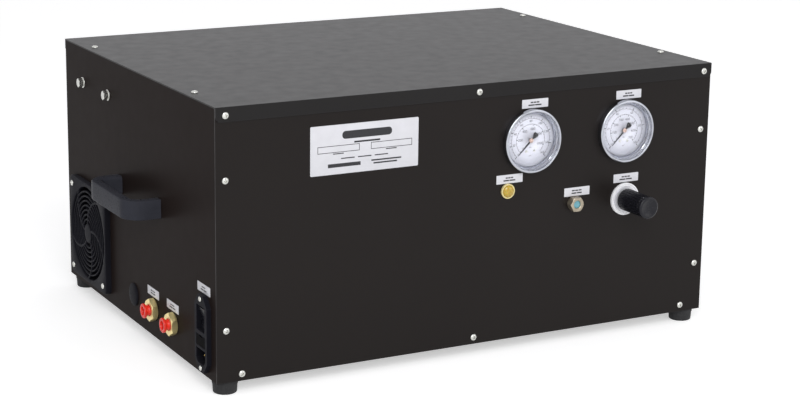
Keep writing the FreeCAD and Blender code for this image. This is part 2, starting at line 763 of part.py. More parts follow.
def base_pan():
    """Tray that carries the machine; its edges stand inside the four panels."""
    thick = sheet.sheet_thick
    body = new_body("base_pan")
    left, right = left_face + thick, right_face - thick
    low, high = front_face + thick, rear_face - thick
    pad(body, "XY", [rectangle(left, low, right, high)], thick)
    pad(body, "XY", [rectangle(left, low, right, low + thick)], sheet.pan_flange)
    pad(body, "XY", [rectangle(left, high - thick, right, high)], sheet.pan_flange)
    pad(body, "XY", [rectangle(left, low, left + thick, high)], sheet.pan_side_flange)
    pad(body, "XY", [rectangle(right - thick, low, right, high)], sheet.pan_side_flange)
    studs = [circle(across, back, sheet.grommet_stud_radius + sheet.grommet_stud_gap)
             for across, back in compressor_stud_spots()]
    feet = [circle(across, back, screw_hole) for across, back in foot_spots()]
    cut(body, "XY", studs + feet, 4 * thick)
    _, low_row = panel_screw_spots()
    holes = [circle(left_face + across, up, screw_hole) for across, up in low_row]
    cut(body, "XZ", holes, 4 * thick, -low)
    cut(body, "XZ", holes, 4 * thick, -high)
    return keep(place(body, up=pan_bottom))


def side_panel(label, inward):
    """Folded sheet: web, return flanges behind front and rear panel, and a flange under the lid."""
    thick = sheet.sheet_thick
    deep = sheet.cabinet_deep - 2 * thick
    high = sheet.cabinet_high - thick
    body = new_body(label)
    reverse = inward < 0

    def flange(width, low, top):
        near, far = sorted((0, inward), key=float)
        return rectangle(near * width, low, far * width, top)

    pad(body, "YZ", [rectangle(0, 0, deep, high)], thick, reverse=reverse)
    for start in (0, deep - thick):
        pad(body, "XY", [flange(sheet.return_flange, start, start + thick)],
            high - sheet.pan_flange, sheet.pan_flange)
    pad(body, "XY", [flange(sheet.top_flange, 0, deep)], thick, high - thick)
    spots, _ = panel_screw_spots()
    rows = [up for _, up in spots[:2]] + [lip_screw_spots()[0][1]]
    holes = [circle(inward * sheet.panel_screw_inset, up, screw_hole) for up in rows]
    cut(body, "XZ", holes, 4 * thick)
    cut(body, "XZ", holes, 4 * thick, -deep)
    tops = [circle(inward * sheet.lid_screw_inset, row - thick, screw_hole)
            for _, row in lid_screw_spots()[:2]]
    cut(body, "XY", tops, 4 * thick, high)
    cut(body, "YZ", handle_bolt_holes(), 4 * thick)
    face = left_face if inward > 0 else right_face
    return body, keep(place(body, face, front_face + thick, pan_bottom))


def handle_bolt_holes():
    """Holes for the two bolts of a handle, in a side panel's own frame."""
    reach = (sheet.handle_long - sheet.handle_leg) / 2
    middle = sheet.handle_from_front - sheet.sheet_thick
    return [circle(middle + side * reach, sheet.handle_from_pan,
                   sheet.handle_bolt_radius + sheet.screw_clearance) for side in (-1, 1)]


def left_panel():
    """The left side has the fan opening, the air ports, the power inlet and a spare hole."""
    thick = sheet.sheet_thick
    body, _ = side_panel("side_panel_left", 1)
    fan_y, fan_z = sheet.fan_from_front - thick, sheet.fan_from_pan
    half = sheet.fan_hole_spacing / 2
    screw = sheet.guard_screw_radius + sheet.screw_clearance
    fan = [circle(fan_y, fan_z, fan_bore)]
    fan += [circle(fan_y + across * half, fan_z + up * half, screw) for across in (-1, 1) for up in (-1, 1)]
    port_hole = sheet.port_thread_radius + sheet.port_clearance
    ports = [circle(row - thick, sheet.port_from_pan, port_hole) for row in port_rows()]
    bolt_hole = sheet.bolt_radius + sheet.screw_clearance
    bolts = [circle(row - thick, sheet.bracket_bolt_high, bolt_hole)
             for row in (sheet.bracket_bolt_rear, sheet.bracket_bolt_front)]
    blank = [circle(sheet.blank_from_front - thick, sheet.blank_from_pan, sheet.blank_hole_radius)]
    inlet_y, inlet_z = sheet.inlet_from_front - thick, sheet.inlet_from_pan
    gap = sheet.inlet_clearance
    half_wide = sheet.inlet_body_wide / 2 + gap
    inlet = [rectangle(inlet_y - half_wide, inlet_z - sheet.inlet_body_low - gap,
                       inlet_y + half_wide, inlet_z + sheet.inlet_body_up + gap)]
    inlet += [circle(inlet_y, inlet_z + up * sheet.inlet_screw_drop,
                     sheet.inlet_screw_radius + sheet.screw_clearance) for up in (-1, 1)]
    cut(body, "YZ", fan + ports + bolts + blank + inlet, 4 * thick)
    return body


def right_panel():
    """The right side has the air intake slots."""
    body, _ = side_panel("side_panel_right", -1)
    middle = sheet.vent_from_front - sheet.sheet_thick
    half = sheet.vent_long / 2
    slots = []
    for row in range(int(value(sheet.vent_count))):
        low = sheet.vent_from_pan + row * sheet.vent_pitch
        slots.append(rectangle(middle - half, low, middle + half, low + sheet.vent_high))
    cut(body, "YZ", slots, 4 * sheet.sheet_thick)
    return body


def flat_panel(label, holes):
    """Front or rear panel, from the floor pan's level up to the lid."""
    thick = sheet.sheet_thick
    body = new_body(label)
    upper, lower = panel_screw_spots()
    screws = [circle(across, up, screw_hole) for across, up in upper + lower + lip_screw_spots()]
    outline = rectangle(0, 0, sheet.cabinet_wide, sheet.cabinet_high - thick)
    pad(body, "XZ", [outline] + screws + holes, thick, reverse=True)
    return body


def front_panel():
    """The front panel carries the gauges, lamp, moisture indicator and regulator."""
    holes = [circle(across, sheet.gauge_high, sheet.case_radius + sheet.screw_clearance)
             for across in (sheet.gauge_left_at, sheet.gauge_right_at)]
    holes.append(circle(sheet.pilot_at, sheet.pilot_high, sheet.pilot_barrel_radius + sheet.screw_clearance))
    holes.append(circle(sheet.sight_at, sheet.sight_high, sheet.sight_body_radius + sheet.screw_clearance))
    holes.append(circle(sheet.regulator_at, sheet.regulator_high, sheet.neck_radius + sheet.neck_clearance))
    return keep(place(flat_panel("front_panel", holes), left_face, front_face, pan_bottom))


def rear_panel():
    panel = flat_panel("rear_panel", [])
    return keep(place(panel, left_face, rear_face - sheet.sheet_thick, pan_bottom))


def lid():
    """Flat top with a lip folded down over the front and rear panels."""
    thick = sheet.sheet_thick
    body = new_body("lid")
    front, rear = front_face - thick, rear_face + thick
    pad(body, "XY", [rectangle(left_face, front, right_face, rear)], thick, lid_under)
    drop = lid_top - sheet.lip_high
    corner = sheet.lip_corner
    lip = [(left_face + corner, drop), (right_face - corner, drop), (right_face, drop + corner),
           (right_face, lid_top), (left_face, lid_top), (left_face, drop + corner)]
    pad(body, "XZ", [lip], thick, -front, reverse=True)
    pad(body, "XZ", [lip], thick, -rear)
    lip_holes = [circle(left_face + across, pan_bottom + up, screw_hole) for across, up in lip_screw_spots()]
    cut(body, "XZ", lip_holes, 3 * thick, -front)
    cut(body, "XZ", lip_holes, 3 * thick, -rear)
    tops = [circle(left_face + across, front_face + back, screw_hole) for across, back in lid_screw_spots()]
    cut(body, "XY", tops, 4 * thick, lid_top)
    return keep(body)


def domed_screw(label, head_radius, head_high, shank_radius, shank_long):
    """Domed cross-recess screw, with the underside of its head at the origin."""
    dome = (head_radius * head_radius + head_high * head_high) / (2 * head_high)
    body = turned(label, [(0, -shank_long), (shank_radius, -shank_long), (shank_radius, 0),
                          (head_radius, 0, dome), (0, head_high)])
    cut(body, "XY", [cross(sheet.cross_arm, sheet.cross_half)], sheet.cross_deep, head_high, inward=True)
    return body


def casing_screws():
    """One kind of screw holds the front and rear panels and the lid."""
    screw = domed_screw("casing_screw_pattern", sheet.screw_head_radius, sheet.screw_head_high,
                        sheet.screw_shank_radius, sheet.screw_shank_long)
    upper, lower = panel_screw_spots()
    places = []
    for across, up in upper + lower:
        places.append((left_face + across, front_face, pan_bottom + up, FRONT))
        places.append((left_face + across, rear_face, pan_bottom + up, BACK))
    for across, up in lip_screw_spots():
        places.append((left_face + across, front_face - sheet.sheet_thick, pan_bottom + up, FRONT))
        places.append((left_face + across, rear_face + sheet.sheet_thick, pan_bottom + up, BACK))
    places += [(left_face + across, front_face + back, lid_top, UP) for across, back in lid_screw_spots()]
    return group("casing_screws", screw, places)


def feet():
    """Rubber feet, each held up into the pan by a screw in its recess."""
    high, deep = sheet.foot_high, sheet.foot_recess_deep
    foot = turned("rubber_foot_pattern", [
        (sheet.foot_recess_radius, 0), (sheet.foot_radius - sheet.foot_taper, 0), (sheet.foot_radius, high),
        (screw_hole, high), (screw_hole, deep), (sheet.foot_recess_radius, deep)])
    group("rubber_feet", foot, [(across, back, 0, UP) for across, back in foot_spots()])


def foot_screws():
    """Screws from each foot's recess up through the pan."""
    deep = sheet.foot_recess_deep
    reach = sheet.foot_high - deep + 4 * sheet.sheet_thick
    screw = domed_screw("foot_screw_pattern", sheet.screw_head_radius, sheet.screw_head_high,
                        sheet.screw_shank_radius, reach)
    return copies_of(screw, [(across, back, deep, -UP) for across, back in foot_spots()])


def handle(label, facing):
    """Moulded bow handle; its own +Z points away from the cabinet, +X up and +Y along the cabinet."""
    half, leg, reach = sheet.handle_long / 2, sheet.handle_leg, sheet.handle_reach
    inner, grip = half - leg, reach - sheet.handle_grip
    outer_round, inner_round = sheet.handle_corner, sheet.handle_inner_corner
    bow = [(-half, 0), (-inner, 0), (-inner, grip - inner_round, -inner_round),
           (inner_round - inner, grip), (inner - inner_round, grip, -inner_round),
           (inner, grip - inner_round), (inner, 0), (half, 0), (half, reach - outer_round, outer_round),
           (half - outer_round, reach), (outer_round - half, reach, outer_round),
           (-half, reach - outer_round)]
    body = new_body(label)
    pad(body, "YZ", [bow], sheet.handle_tall, -sheet.handle_tall / 2)
    tall = value(sheet.handle_tall) / 2
    round_edges(body, sheet.handle_edge,
                lambda edge: all(abs(abs(vertex.X) - tall) < 0.01 for vertex in edge.Vertexes)
                and max(vertex.Z for vertex in edge.Vertexes) > 0.01)
    bolts = [circle(0, side * (half - leg / 2), sheet.handle_bolt_radius) for side in (-1, 1)]
    cut(body, "XY", bolts, sheet.handle_bolt_deep, inward=False)
    face = left_face if facing == LEFT else right_face
    middle = front_face + sheet.handle_from_front
    return keep(place(body, face, middle, pan_bottom + sheet.handle_from_pan, facing))


def handle_bolts():
    """Bolts from inside the cabinet into the legs of both handles."""
    reach = sheet.handle_bolt_deep
    bolt = domed_screw("handle_bolt_pattern", sheet.handle_bolt_head_radius, sheet.handle_bolt_head_high,
                       sheet.handle_bolt_radius - sheet.running_gap, reach)
    half = (sheet.handle_long - sheet.handle_leg) / 2
    places = []
    for face, facing in ((left_face + sheet.sheet_thick, RIGHT), (right_face - sheet.sheet_thick, LEFT)):
        for side in (-1, 1):
            back = front_face + sheet.handle_from_front + side * half
            places.append((face, back, pan_bottom + sheet.handle_from_pan, facing))
    return copies_of(bolt, places)


def plates():
    """Name plate and small label plates; they carry no words."""
    body = new_body("name_plate")
    left, low = sheet.plate_left, sheet.plate_low
    outline = rectangle(left, low, left + sheet.plate_wide, low + sheet.plate_high)
    pad(body, "XZ", [outline], sheet.plate_thick)
    keep(place(body, left_face, front_face, pan_bottom))

    label = new_body("label_pattern")
    half = sheet.label_wide / 2
    pad(label, "XY", [rectangle(-half, 0, half, sheet.label_high)], sheet.label_thick)
    sideways = new_body("side_label_pattern")
    pad(sideways, "XY", [rectangle(0, -half, sheet.label_high, half)], sheet.label_thick)
    places = [on_front(sheet.gauge_left_at + sheet.gauge_label_offset, sheet.gauge_label_low),
              on_front(sheet.gauge_right_at + sheet.gauge_label_offset, sheet.gauge_label_low),
              on_front(sheet.pilot_at + sheet.pilot_label_offset, sheet.pilot_label_low),
              on_front(sheet.sight_at + sheet.sight_label_offset, sheet.sight_label_low),
              on_front(sheet.regulator_at + sheet.regulator_label_offset, sheet.regulator_label_low)]
    side_places = [on_left(sheet.rear_port_from_front + sheet.port_label_offset, sheet.port_label_low),
                   on_left(sheet.front_port_from_front + sheet.port_label_offset, sheet.port_label_low),
                   on_left(sheet.inlet_from_front + sheet.port_label_offset, sheet.inlet_label_low)]
    keep(gathered("panel_labels", copies_of(label, places) + copies_of(sideways, side_places)))


def hole_plug():
    """Snap-in plastic plug that closes the spare hole."""
    radius, high = sheet.blank_radius, sheet.blank_high
    stem = sheet.blank_hole_radius - sheet.screw_clearance
    dome = (radius * radius + high * high) / (2 * high)
    body = turned("hole_plug", [(0, -sheet.blank_stem_long), (stem, -sheet.blank_stem_long), (stem, 0),
                                (radius, 0, dome), (0, high)])
    return keep(place(body, *on_left(sheet.blank_from_front, sheet.blank_from_pan)))


# ---------------------------------------------------------------- left side: fan, ports, power inlet

def fan_guard():
    """Moulded guard: square frame, rings, and spokes that curve clockwise from the middle."""
    half, ring = guard_half, sheet.guard_ring_wide
    bore, disc = fan_bore, sheet.guard_disc_radius
    thick, rib = sheet.guard_thick, sheet.guard_rib_thick
    body = new_body("fan_guard")
    frame = rounded_rectangle(-half, -half, half, half, sheet.fan_corner)
    holes = fan_hole_spots(sheet.guard_screw_radius + sheet.screw_clearance)
    pad(body, "XY", [frame, circle(0, 0, bore)] + holes, thick)
    wide, across = sheet.guard_spoke_wide, bore + sheet.guard_wall / 2
    curve = 0.62 * across
    tip_angle = math.radians(32)
    tip_x, tip_y = across * math.cos(tip_angle), across * math.sin(tip_angle)
    spoke = [(0, -wide / 2), (tip_x + wide / 2, tip_y - wide / 2),
             (tip_x - wide / 2, tip_y + wide / 2), (0, wide / 2)]
    spoke[0] += (curve,)
    spoke[2] += (-curve,)
    first = pad(body, "XY", [spoke], rib, thick - rib)
    around(body, first, sheet.guard_spoke_count)
    rings = [circle(0, 0, disc)]
    count = int(value(sheet.guard_ring_count))
    for number in range(1, count + 1):
        radius = disc + (bore - disc) * number / (count + 1)
        rings += [circle(0, 0, radius - ring / 2), circle(0, 0, radius + ring / 2)]
    pad(body, "XY", rings, rib, thick - rib)
    return keep(place(body, *on_left(sheet.fan_from_front, sheet.fan_from_pan)))


def fan_spot(out=0):
    return on_left(sheet.fan_from_front, sheet.fan_from_pan, out)


def fan_frame():
    """Square fan frame against the inside of the panel, with a motor seat on struts at its far end."""
    half, deep = fan_half, sheet.fan_deep
    seat, strut = sheet.fan_motor_deep, sheet.fan_strut_thick
    body = new_body("fan_frame")
    frame = rounded_rectangle(-half, -half, half, half, sheet.fan_corner)
    screw = sheet.guard_screw_radius + sheet.screw_clearance
    pad(body, "XY", [frame, circle(0, 0, fan_bore)] + fan_hole_spots(screw), deep, -deep)
    wide = sheet.fan_strut_wide / 2
    reach = fan_bore + sheet.guard_wall / 2
    arms = pad(body, "XY", [rectangle(0, -wide, reach, wide)], strut, -deep)
    around(body, arms, 4)
    pad(body, "XY", [circle(0, 0, sheet.fan_motor_radius)], seat, -deep)
    cut(body, "XY", [circle(0, 0, sheet.fan_shaft_radius + sheet.running_gap)], seat - strut / 2,
        strut / 2 - deep, inward=False)
    return keep(place(body, *fan_spot(-sheet.sheet_thick)))


def fan_rotor():
    """Cup, shaft and slanted blades; it turns in the motor seat."""
    deep, seat = sheet.fan_deep, sheet.fan_motor_deep
    gap = 1
    front, back = -gap, gap + seat - deep
    hub = sheet.fan_hub_radius
    body = turned("fan_rotor", [
        (0, sheet.fan_strut_thick - deep), (sheet.fan_shaft_radius, sheet.fan_strut_thick - deep),
        (sheet.fan_shaft_radius, back + 1), (hub - 2, back + 1), (hub - 2, back), (hub, back),
        (hub, front - 2), (hub - 2, front), (0, front)])
    half, thick = sheet.fan_blade_chord * 0.36, sheet.fan_blade_thick / 2
    middle = (front + back) / 2
    blade = [(-half, middle - half), (thick - half, middle - half - thick),
             (half + thick, middle + half - thick), (half, middle + half)]
    reach = (fan_bore - sheet.fan_tip_gap) - 4
    feature = pad(body, "XZ", [blade], reach - hub + 4, hub - 4)
    around(body, feature, sheet.fan_blades)
    return keep(place(body, *fan_spot(-sheet.sheet_thick)))


def fan_screws():
    """Long screws through guard, panel and fan frame."""
    screw = domed_screw("fan_screw_pattern", sheet.guard_screw_head, sheet.guard_screw_high,
                        sheet.guard_screw_radius, sheet.guard_screw_long)
    half = sheet.fan_hole_spacing / 2
    places = [on_left(sheet.fan_from_front + across * half, sheet.fan_from_pan + up * half, sheet.guard_thick)
              for across in (-1, 1) for up in (-1, 1)]
    return group("fan_screws", screw, places)


def bracket_bolts():
    """Two hex bolts with washers, through the left panel into the inner bracket."""
    head = new_body("bracket_bolt_pattern")
    washer = sheet.washer_thick
    pad(head, "XY", [circle(0, 0, sheet.washer_radius)], washer)
    pad(head, "XY", [hexagon(sheet.bolt_across, pointed_up=True)], sheet.bolt_head_high, washer)
    pad(head, "XY", [circle(0, 0, sheet.bolt_radius)], sheet.bolt_long, -sheet.bolt_long)
    rows = (sheet.bracket_bolt_rear, sheet.bracket_bolt_front)
    return group("bracket_bolts", head, [on_left(row, sheet.bracket_bolt_high) for row in rows])


def air_ports():
    """Brass bulkhead fittings, their inner locknuts and the red transit plugs."""
    inside, thread = sheet.port_inside_long, sheet.port_thread_radius
    places = [on_left(row, sheet.port_from_pan) for row in port_rows()]

    fitting = new_body("bulkhead_fitting_pattern")
    pad(fitting, "XY", [hexagon(sheet.port_hex_across)], sheet.port_hex_thick)
    pad(fitting, "XY", [circle(0, 0, thread)], inside, -inside)
    cut(fitting, "XY", [circle(0, 0, sheet.port_bore_radius)], sheet.port_hex_thick + inside - 4,
        sheet.port_hex_thick, inward=True)
    cut(fitting, "XY", [circle(0, 0, sheet.port_tube_radius + sheet.running_gap)], 6, -inside, inward=False)
    group("bulkhead_fittings", fitting, places)

    nut = new_body("locknut_pattern")
    outline = [hexagon(sheet.locknut_across), circle(0, 0, thread + sheet.running_gap)]
    pad(nut, "XY", outline, sheet.locknut_thick, -sheet.sheet_thick - sheet.locknut_thick)
    group("bulkhead_locknuts", nut, places)

    reach, hex_face, bore = sheet.plug_reach, sheet.port_hex_thick, sheet.plug_bore_radius
    neck, flange = sheet.plug_neck_radius, sheet.plug_flange_radius
    floor = hex_face - sheet.plug_deep
    plug = turned("port_plug_pattern", [
        (0, floor), (neck, floor), (neck, reach - sheet.plug_flange_thick),
        (flange, reach - sheet.plug_flange_thick), (flange, reach), (bore, reach),
        (bore, floor + sheet.plug_floor), (0, floor + sheet.plug_floor)])
    group("port_plugs", plug, places)


def inlet_spot(out=0):
    return on_left(sheet.inlet_from_front, sheet.inlet_from_pan, out)


def inlet_housing():
    """Moulded inlet: socket recess below, fuse slot, switch recess above. Its own +X is up."""
    half_high, half_wide = sheet.inlet_high / 2, sheet.inlet_wide / 2
    ear, tip = sheet.inlet_ear, sheet.inlet_ear_wide / 2
    shoulder = half_high - ear
    face, inside = sheet.inlet_flange, sheet.inlet_body_deep
    body = new_body("inlet_housing")
    flange = [(-half_high, -tip), (-shoulder, -half_wide), (shoulder, -half_wide), (half_high, -tip),
              (half_high, tip), (shoulder, half_wide), (-shoulder, half_wide), (-half_high, tip)]
    pad(body, "XY", [flange], face)
    wide = sheet.inlet_body_wide / 2
    pad(body, "XY", [rectangle(-sheet.inlet_body_low, -wide, sheet.inlet_body_up, wide)], inside, -inside)
    screw = sheet.inlet_screw_radius + sheet.screw_clearance
    screws = [circle(up * sheet.inlet_screw_drop, 0, screw) for up in (-1, 1)]
    cut(body, "XY", screws, face, face, inward=True)

    low, half, corner = -sheet.socket_low, sheet.socket_wide / 2, sheet.socket_corner
    high = low + sheet.socket_high
    socket = [(low, corner - half), (low + corner, -half), (high, -half),
              (high, half), (low + corner, half), (low, half - corner)]
    cut(body, "XY", [socket], sheet.socket_deep, face, inward=True)
    gap = sheet.drawer_gap
    slot = rectangle(-sheet.drawer_low - gap, -sheet.drawer_wide / 2 - gap,
                     sheet.drawer_high - sheet.drawer_low + gap, sheet.drawer_wide / 2 + gap)
    cut(body, "XY", [slot], sheet.drawer_deep + gap, face, inward=True)
    recess = rectangle(sheet.switch_low, -sheet.switch_wide / 2,
                       sheet.switch_low + sheet.switch_high, sheet.switch_wide / 2)
    cut(body, "XY", [recess], sheet.switch_deep, face, inward=True)
    pin_hole = sheet.rocker_pin_radius + sheet.running_gap
    pivot = circle(rocker_middle(), face - sheet.rocker_pivot_deep, pin_hole)
    across = sheet.switch_wide + 2 * (sheet.rocker_pin_long + gap)
    cut(body, "XZ", [pivot], across)
    pins = [rectangle(*sides) for sides in inlet_pin_sides(sheet.running_gap)]
    cut(body, "XY", pins, inside, -inside, inward=False)
    return keep(place(body, *inlet_spot()))


def rocker_middle():
    """Height of the rocker's pivot above the inlet's middle."""
    return sheet.switch_low + sheet.switch_high / 2


def inlet_pin_sides(gap=0):
    """Low, left, high, right of the three blades, earth first."""
    middle = sheet.socket_high / 2 - sheet.socket_low
    half_wide, half_thick = sheet.pin_wide / 2 + gap, sheet.pin_thick / 2 + gap
    sides = []
    for across, up in ((0, 1), (-1, -1), (1, -1)):
        centre, rise = across * sheet.pin_spread, middle + up * sheet.pin_rise
        sides.append((rise - half_wide, centre - half_thick, rise + half_wide, centre + half_thick))
    return sides


def inlet_pins():
    """Line, neutral and earth blades."""
    floor = sheet.inlet_flange - sheet.socket_deep
    tail = -sheet.inlet_body_deep - sheet.pin_tail
    blades = []
    for number, sides in enumerate(inlet_pin_sides(), 1):
        blade = new_body(f"inlet_pin_{number}_pattern")
        pad(blade, "XY", [rectangle(*sides)], floor + sheet.pin_long - tail, tail)
        blades.append(place(blade, *inlet_spot()))
    return keep(gathered("inlet_pins", blades))


def rocker_switch():
    """Two-sided rocker, level in its own frame and resting tilted; its own +X is up."""
    half, crest, dip = sheet.rocker_half, sheet.rocker_crest, sheet.rocker_dip
    keel = sheet.rocker_keel
    wide = sheet.switch_wide - 2 * sheet.rocker_gap
    body = new_body("rocker_switch")
    profile = [(-half, 0), (-half / 2, -keel), (half / 2, -keel), (half, 0), (half, crest),
               (0, dip), (-half, crest)]
    pad(body, "XZ", [profile], wide, -wide / 2)
    pins = wide + 2 * (sheet.rocker_gap + sheet.rocker_pin_long)
    pad(body, "XZ", [circle(0, 0, sheet.rocker_pin_radius)], pins, -pins / 2)
    place(body, *inlet_spot(sheet.inlet_flange - sheet.rocker_pivot_deep))
    bind(body, "Placement.Base.z", pan_bottom + sheet.inlet_from_pan + rocker_middle())
    tilt = FreeCAD.Rotation(BACK, -value(sheet.rocker_tilt))
    body.Placement.Rotation = tilt.multiply(FreeCAD.Rotation(UP, LEFT))
    return keep(body)


def fuse_drawer():
    """Drawer between socket and switch, with a bore for each fuse and a finger notch."""
    low, wide, deep = -sheet.drawer_low, sheet.drawer_wide / 2, sheet.drawer_deep
    high, face = low + sheet.drawer_high, sheet.inlet_flange
    body = new_body("fuse_drawer")
    pad(body, "XY", [rectangle(low, -wide, high, wide)], deep, face - deep)
    cut(body, "XY", [rectangle(high - 2, -wide / 3, high, wide / 3)], 2.5, face, inward=True)
    middle = (low + high) / 2
    bores = [circle(middle, side * sheet.fuse_spread, sheet.fuse_radius + sheet.fuse_gap) for side in (-1, 1)]
    cut(body, "XY", bores, sheet.fuse_long + sheet.fuse_gap, face - deep, inward=False)
    keep(place(body, *inlet_spot()))

    half = sheet.fuse_long / 2
    cap = sheet.fuse_long / 4
    radius, glass = sheet.fuse_radius, sheet.fuse_radius * 0.92
    fuse = turned("fuse_pattern", [(0, -half), (radius, -half), (radius, cap - half), (glass, cap - half),
                                   (glass, half - cap), (radius, half - cap), (radius, half), (0, half)])
    height = pan_bottom + sheet.inlet_from_pan + middle
    across = left_face - face + deep - half
    places = [(across, front_face + sheet.inlet_from_front + side * sheet.fuse_spread, height, LEFT)
              for side in (-1, 1)]
    return group("fuses", fuse, places)


def inlet_screws():
    screw = domed_screw("inlet_screw_pattern", sheet.inlet_screw_head, sheet.inlet_screw_high,
                        sheet.inlet_screw_radius, sheet.inlet_screw_long)
    places = [on_left(sheet.inlet_from_front, sheet.inlet_from_pan + up * sheet.inlet_screw_drop,
                      sheet.inlet_flange) for up in (-1, 1)]
    return group("inlet_screws", screw, places)


# ---------------------------------------------------------------- front panel: gauges, lamp, indicator

def gauge_spots():
    return [on_front(across, sheet.gauge_high) for across in (sheet.gauge_left_at, sheet.gauge_right_at)]


def gauges():
    """Two pressure gauges: case, bezel, glass, dial and movement, as groups of two."""
    thick, outer, inner = sheet.sheet_thick, sheet.case_radius, sheet.case_radius - sheet.case_wall
    stem = sheet.gauge_stem_radius + sheet.screw_clearance
    dial_face, dial_back = -sheet.dial_drop, -sheet.dial_drop - sheet.dial_thick
    ledge = sheet.dial_radius - 2
    back = -sheet.case_deep
    case = turned("gauge_case_pattern", [
        (stem, back), (outer, back), (outer, 0), (inner, 0), (inner, dial_back), (ledge, dial_back),
        (ledge, dial_back - thick), (inner, dial_back - 2 * thick), (inner, back + thick),
        (stem, back + thick)])
    group("gauge_cases", case, gauge_spots())

    reach, seat, round_off = sheet.bezel_reach, sheet.lens_seat, sheet.bezel_round
    lens_wall = sheet.lens_radius + sheet.screw_clearance
    rim, window = sheet.bezel_radius, sheet.bezel_window_radius
    bezel = turned("gauge_bezel_pattern", [
        (window, 0), (rim, 0), (rim, reach - round_off, round_off), (rim - round_off, reach),
        (lens_wall + round_off / 2, reach), (lens_wall, reach - round_off / 2), (lens_wall, seat),
        (window, seat)])
    group("gauge_bezels", bezel, gauge_spots())

    glass, glass_face = sheet.lens_radius, seat + sheet.lens_thick
    lens = turned("gauge_lens_pattern", [(0, seat), (glass, seat), (glass, glass_face), (0, glass_face)])
    group("gauge_lenses", lens, gauge_spots())

    dial = turned("gauge_dial_pattern", [(sheet.dial_hole_radius, dial_back), (sheet.dial_radius, dial_back),
                                         (sheet.dial_radius, dial_face), (sheet.dial_hole_radius, dial_face)])
    group("gauge_dials", dial, gauge_spots())

    start, frame_end = -sheet.movement_front, -sheet.movement_front - sheet.movement_deep
    socket = sheet.spindle_radius + sheet.running_gap
    neck, wide = sheet.gauge_stem_radius, sheet.movement_radius
    stem_end = back - sheet.gauge_stem_long
    movement = turned("gauge_movement_pattern", [
        (socket, start), (wide, start), (wide, frame_end), (neck, frame_end), (neck, stem_end), (0, stem_end),
        (0, frame_end), (socket, frame_end)])
    group("gauge_movements", movement, gauge_spots())


def gauge_pointer(number, spot):
    """Tapered pointer with a round counterweight and its spindle; it rests on the dial's zero."""
    body = new_body(f"gauge_pointer_{number}")
    lift, thick, tip, tail = sheet.pointer_lift, sheet.pointer_thick, sheet.pointer_tip, sheet.pointer_tail
    hub, spindle = sheet.pointer_hub_radius, sheet.spindle_radius
    zero = math.radians(225)
    along, aside = (math.cos(zero), math.sin(zero)), (-math.sin(zero), math.cos(zero))

    def corner(forward, sideways):
        return (forward * along[0] + sideways * aside[0], forward * along[1] + sideways * aside[1])

    root = hub * 0.5
    needle = [corner(-tail, -root), corner(0, -root * 0.9), corner(tip, -root * 0.15),
              corner(tip, root * 0.15), corner(0, root * 0.9), corner(-tail, root)]
    pad(body, "XY", [needle], thick, lift)
    pad(body, "XY", [circle(0, 0, hub)], thick * 2, lift)
    deep = sheet.spindle_deep
    pad(body, "XY", [circle(0, 0, spindle)], deep + lift, -deep)
    return keep(place(body, *spot))


def pilot_lamp():
    """Indicator lamp: rim with barrel and nut, and a domed lens."""
    rim, barrel, long = sheet.pilot_rim_radius, sheet.pilot_barrel_radius, sheet.pilot_barrel_long
    lens, rim_high = sheet.pilot_lens_radius, sheet.pilot_rim_high
    floor = rim_high / 2
    nut, thick = sheet.pilot_nut_radius, sheet.sheet_thick
    nut_end = -thick - sheet.pilot_nut_thick
    body = turned("pilot_body", [
        (0, -long), (barrel, -long), (barrel, nut_end), (nut, nut_end), (nut, -thick), (barrel, -thick),
        (barrel, 0), (rim, 0), (rim, rim_high), (lens, rim_high), (lens, floor), (0, floor)])
    spot = on_front(sheet.pilot_at, sheet.pilot_high)
    keep(place(body, *spot))
    shoulder = (rim_high + sheet.pilot_reach) / 2
    glow = turned("pilot_lens", [(0, floor), (lens - sheet.running_gap, floor),
                                 (lens - sheet.running_gap, shoulder, sheet.pilot_lens_radius),
                                 (lens / 2, sheet.pilot_reach), (0, sheet.pilot_reach)])
    keep(place(glow, *spot))


def moisture_indicator():
    """Hexagonal fitting with a round window; the window's disc shows dampness by its colour."""
    reach, bore, deep = sheet.sight_reach, sheet.sight_bore_radius, sheet.sight_bore_deep
    spot = on_front(sheet.sight_at, sheet.sight_high)
    body = new_body("moisture_body")
    pad(body, "XY", [hexagon(sheet.sight_across)], reach)
    pad(body, "XY", [circle(0, 0, sheet.sight_body_radius)], sheet.sight_body_long, -sheet.sight_body_long)
    cut(body, "XY", [circle(0, 0, bore)], deep, reach, inward=True)
    keep(place(body, *spot))
    window = new_body("moisture_window")
    pad(window, "XY", [circle(0, 0, bore - sheet.running_gap)], sheet.sight_window_thick, reach - deep)
    keep(place(window, *spot))


# ---------------------------------------------------------------- front panel: regulator

def regulator_spot():
    return on_front(sheet.regulator_at, sheet.regulator_high)


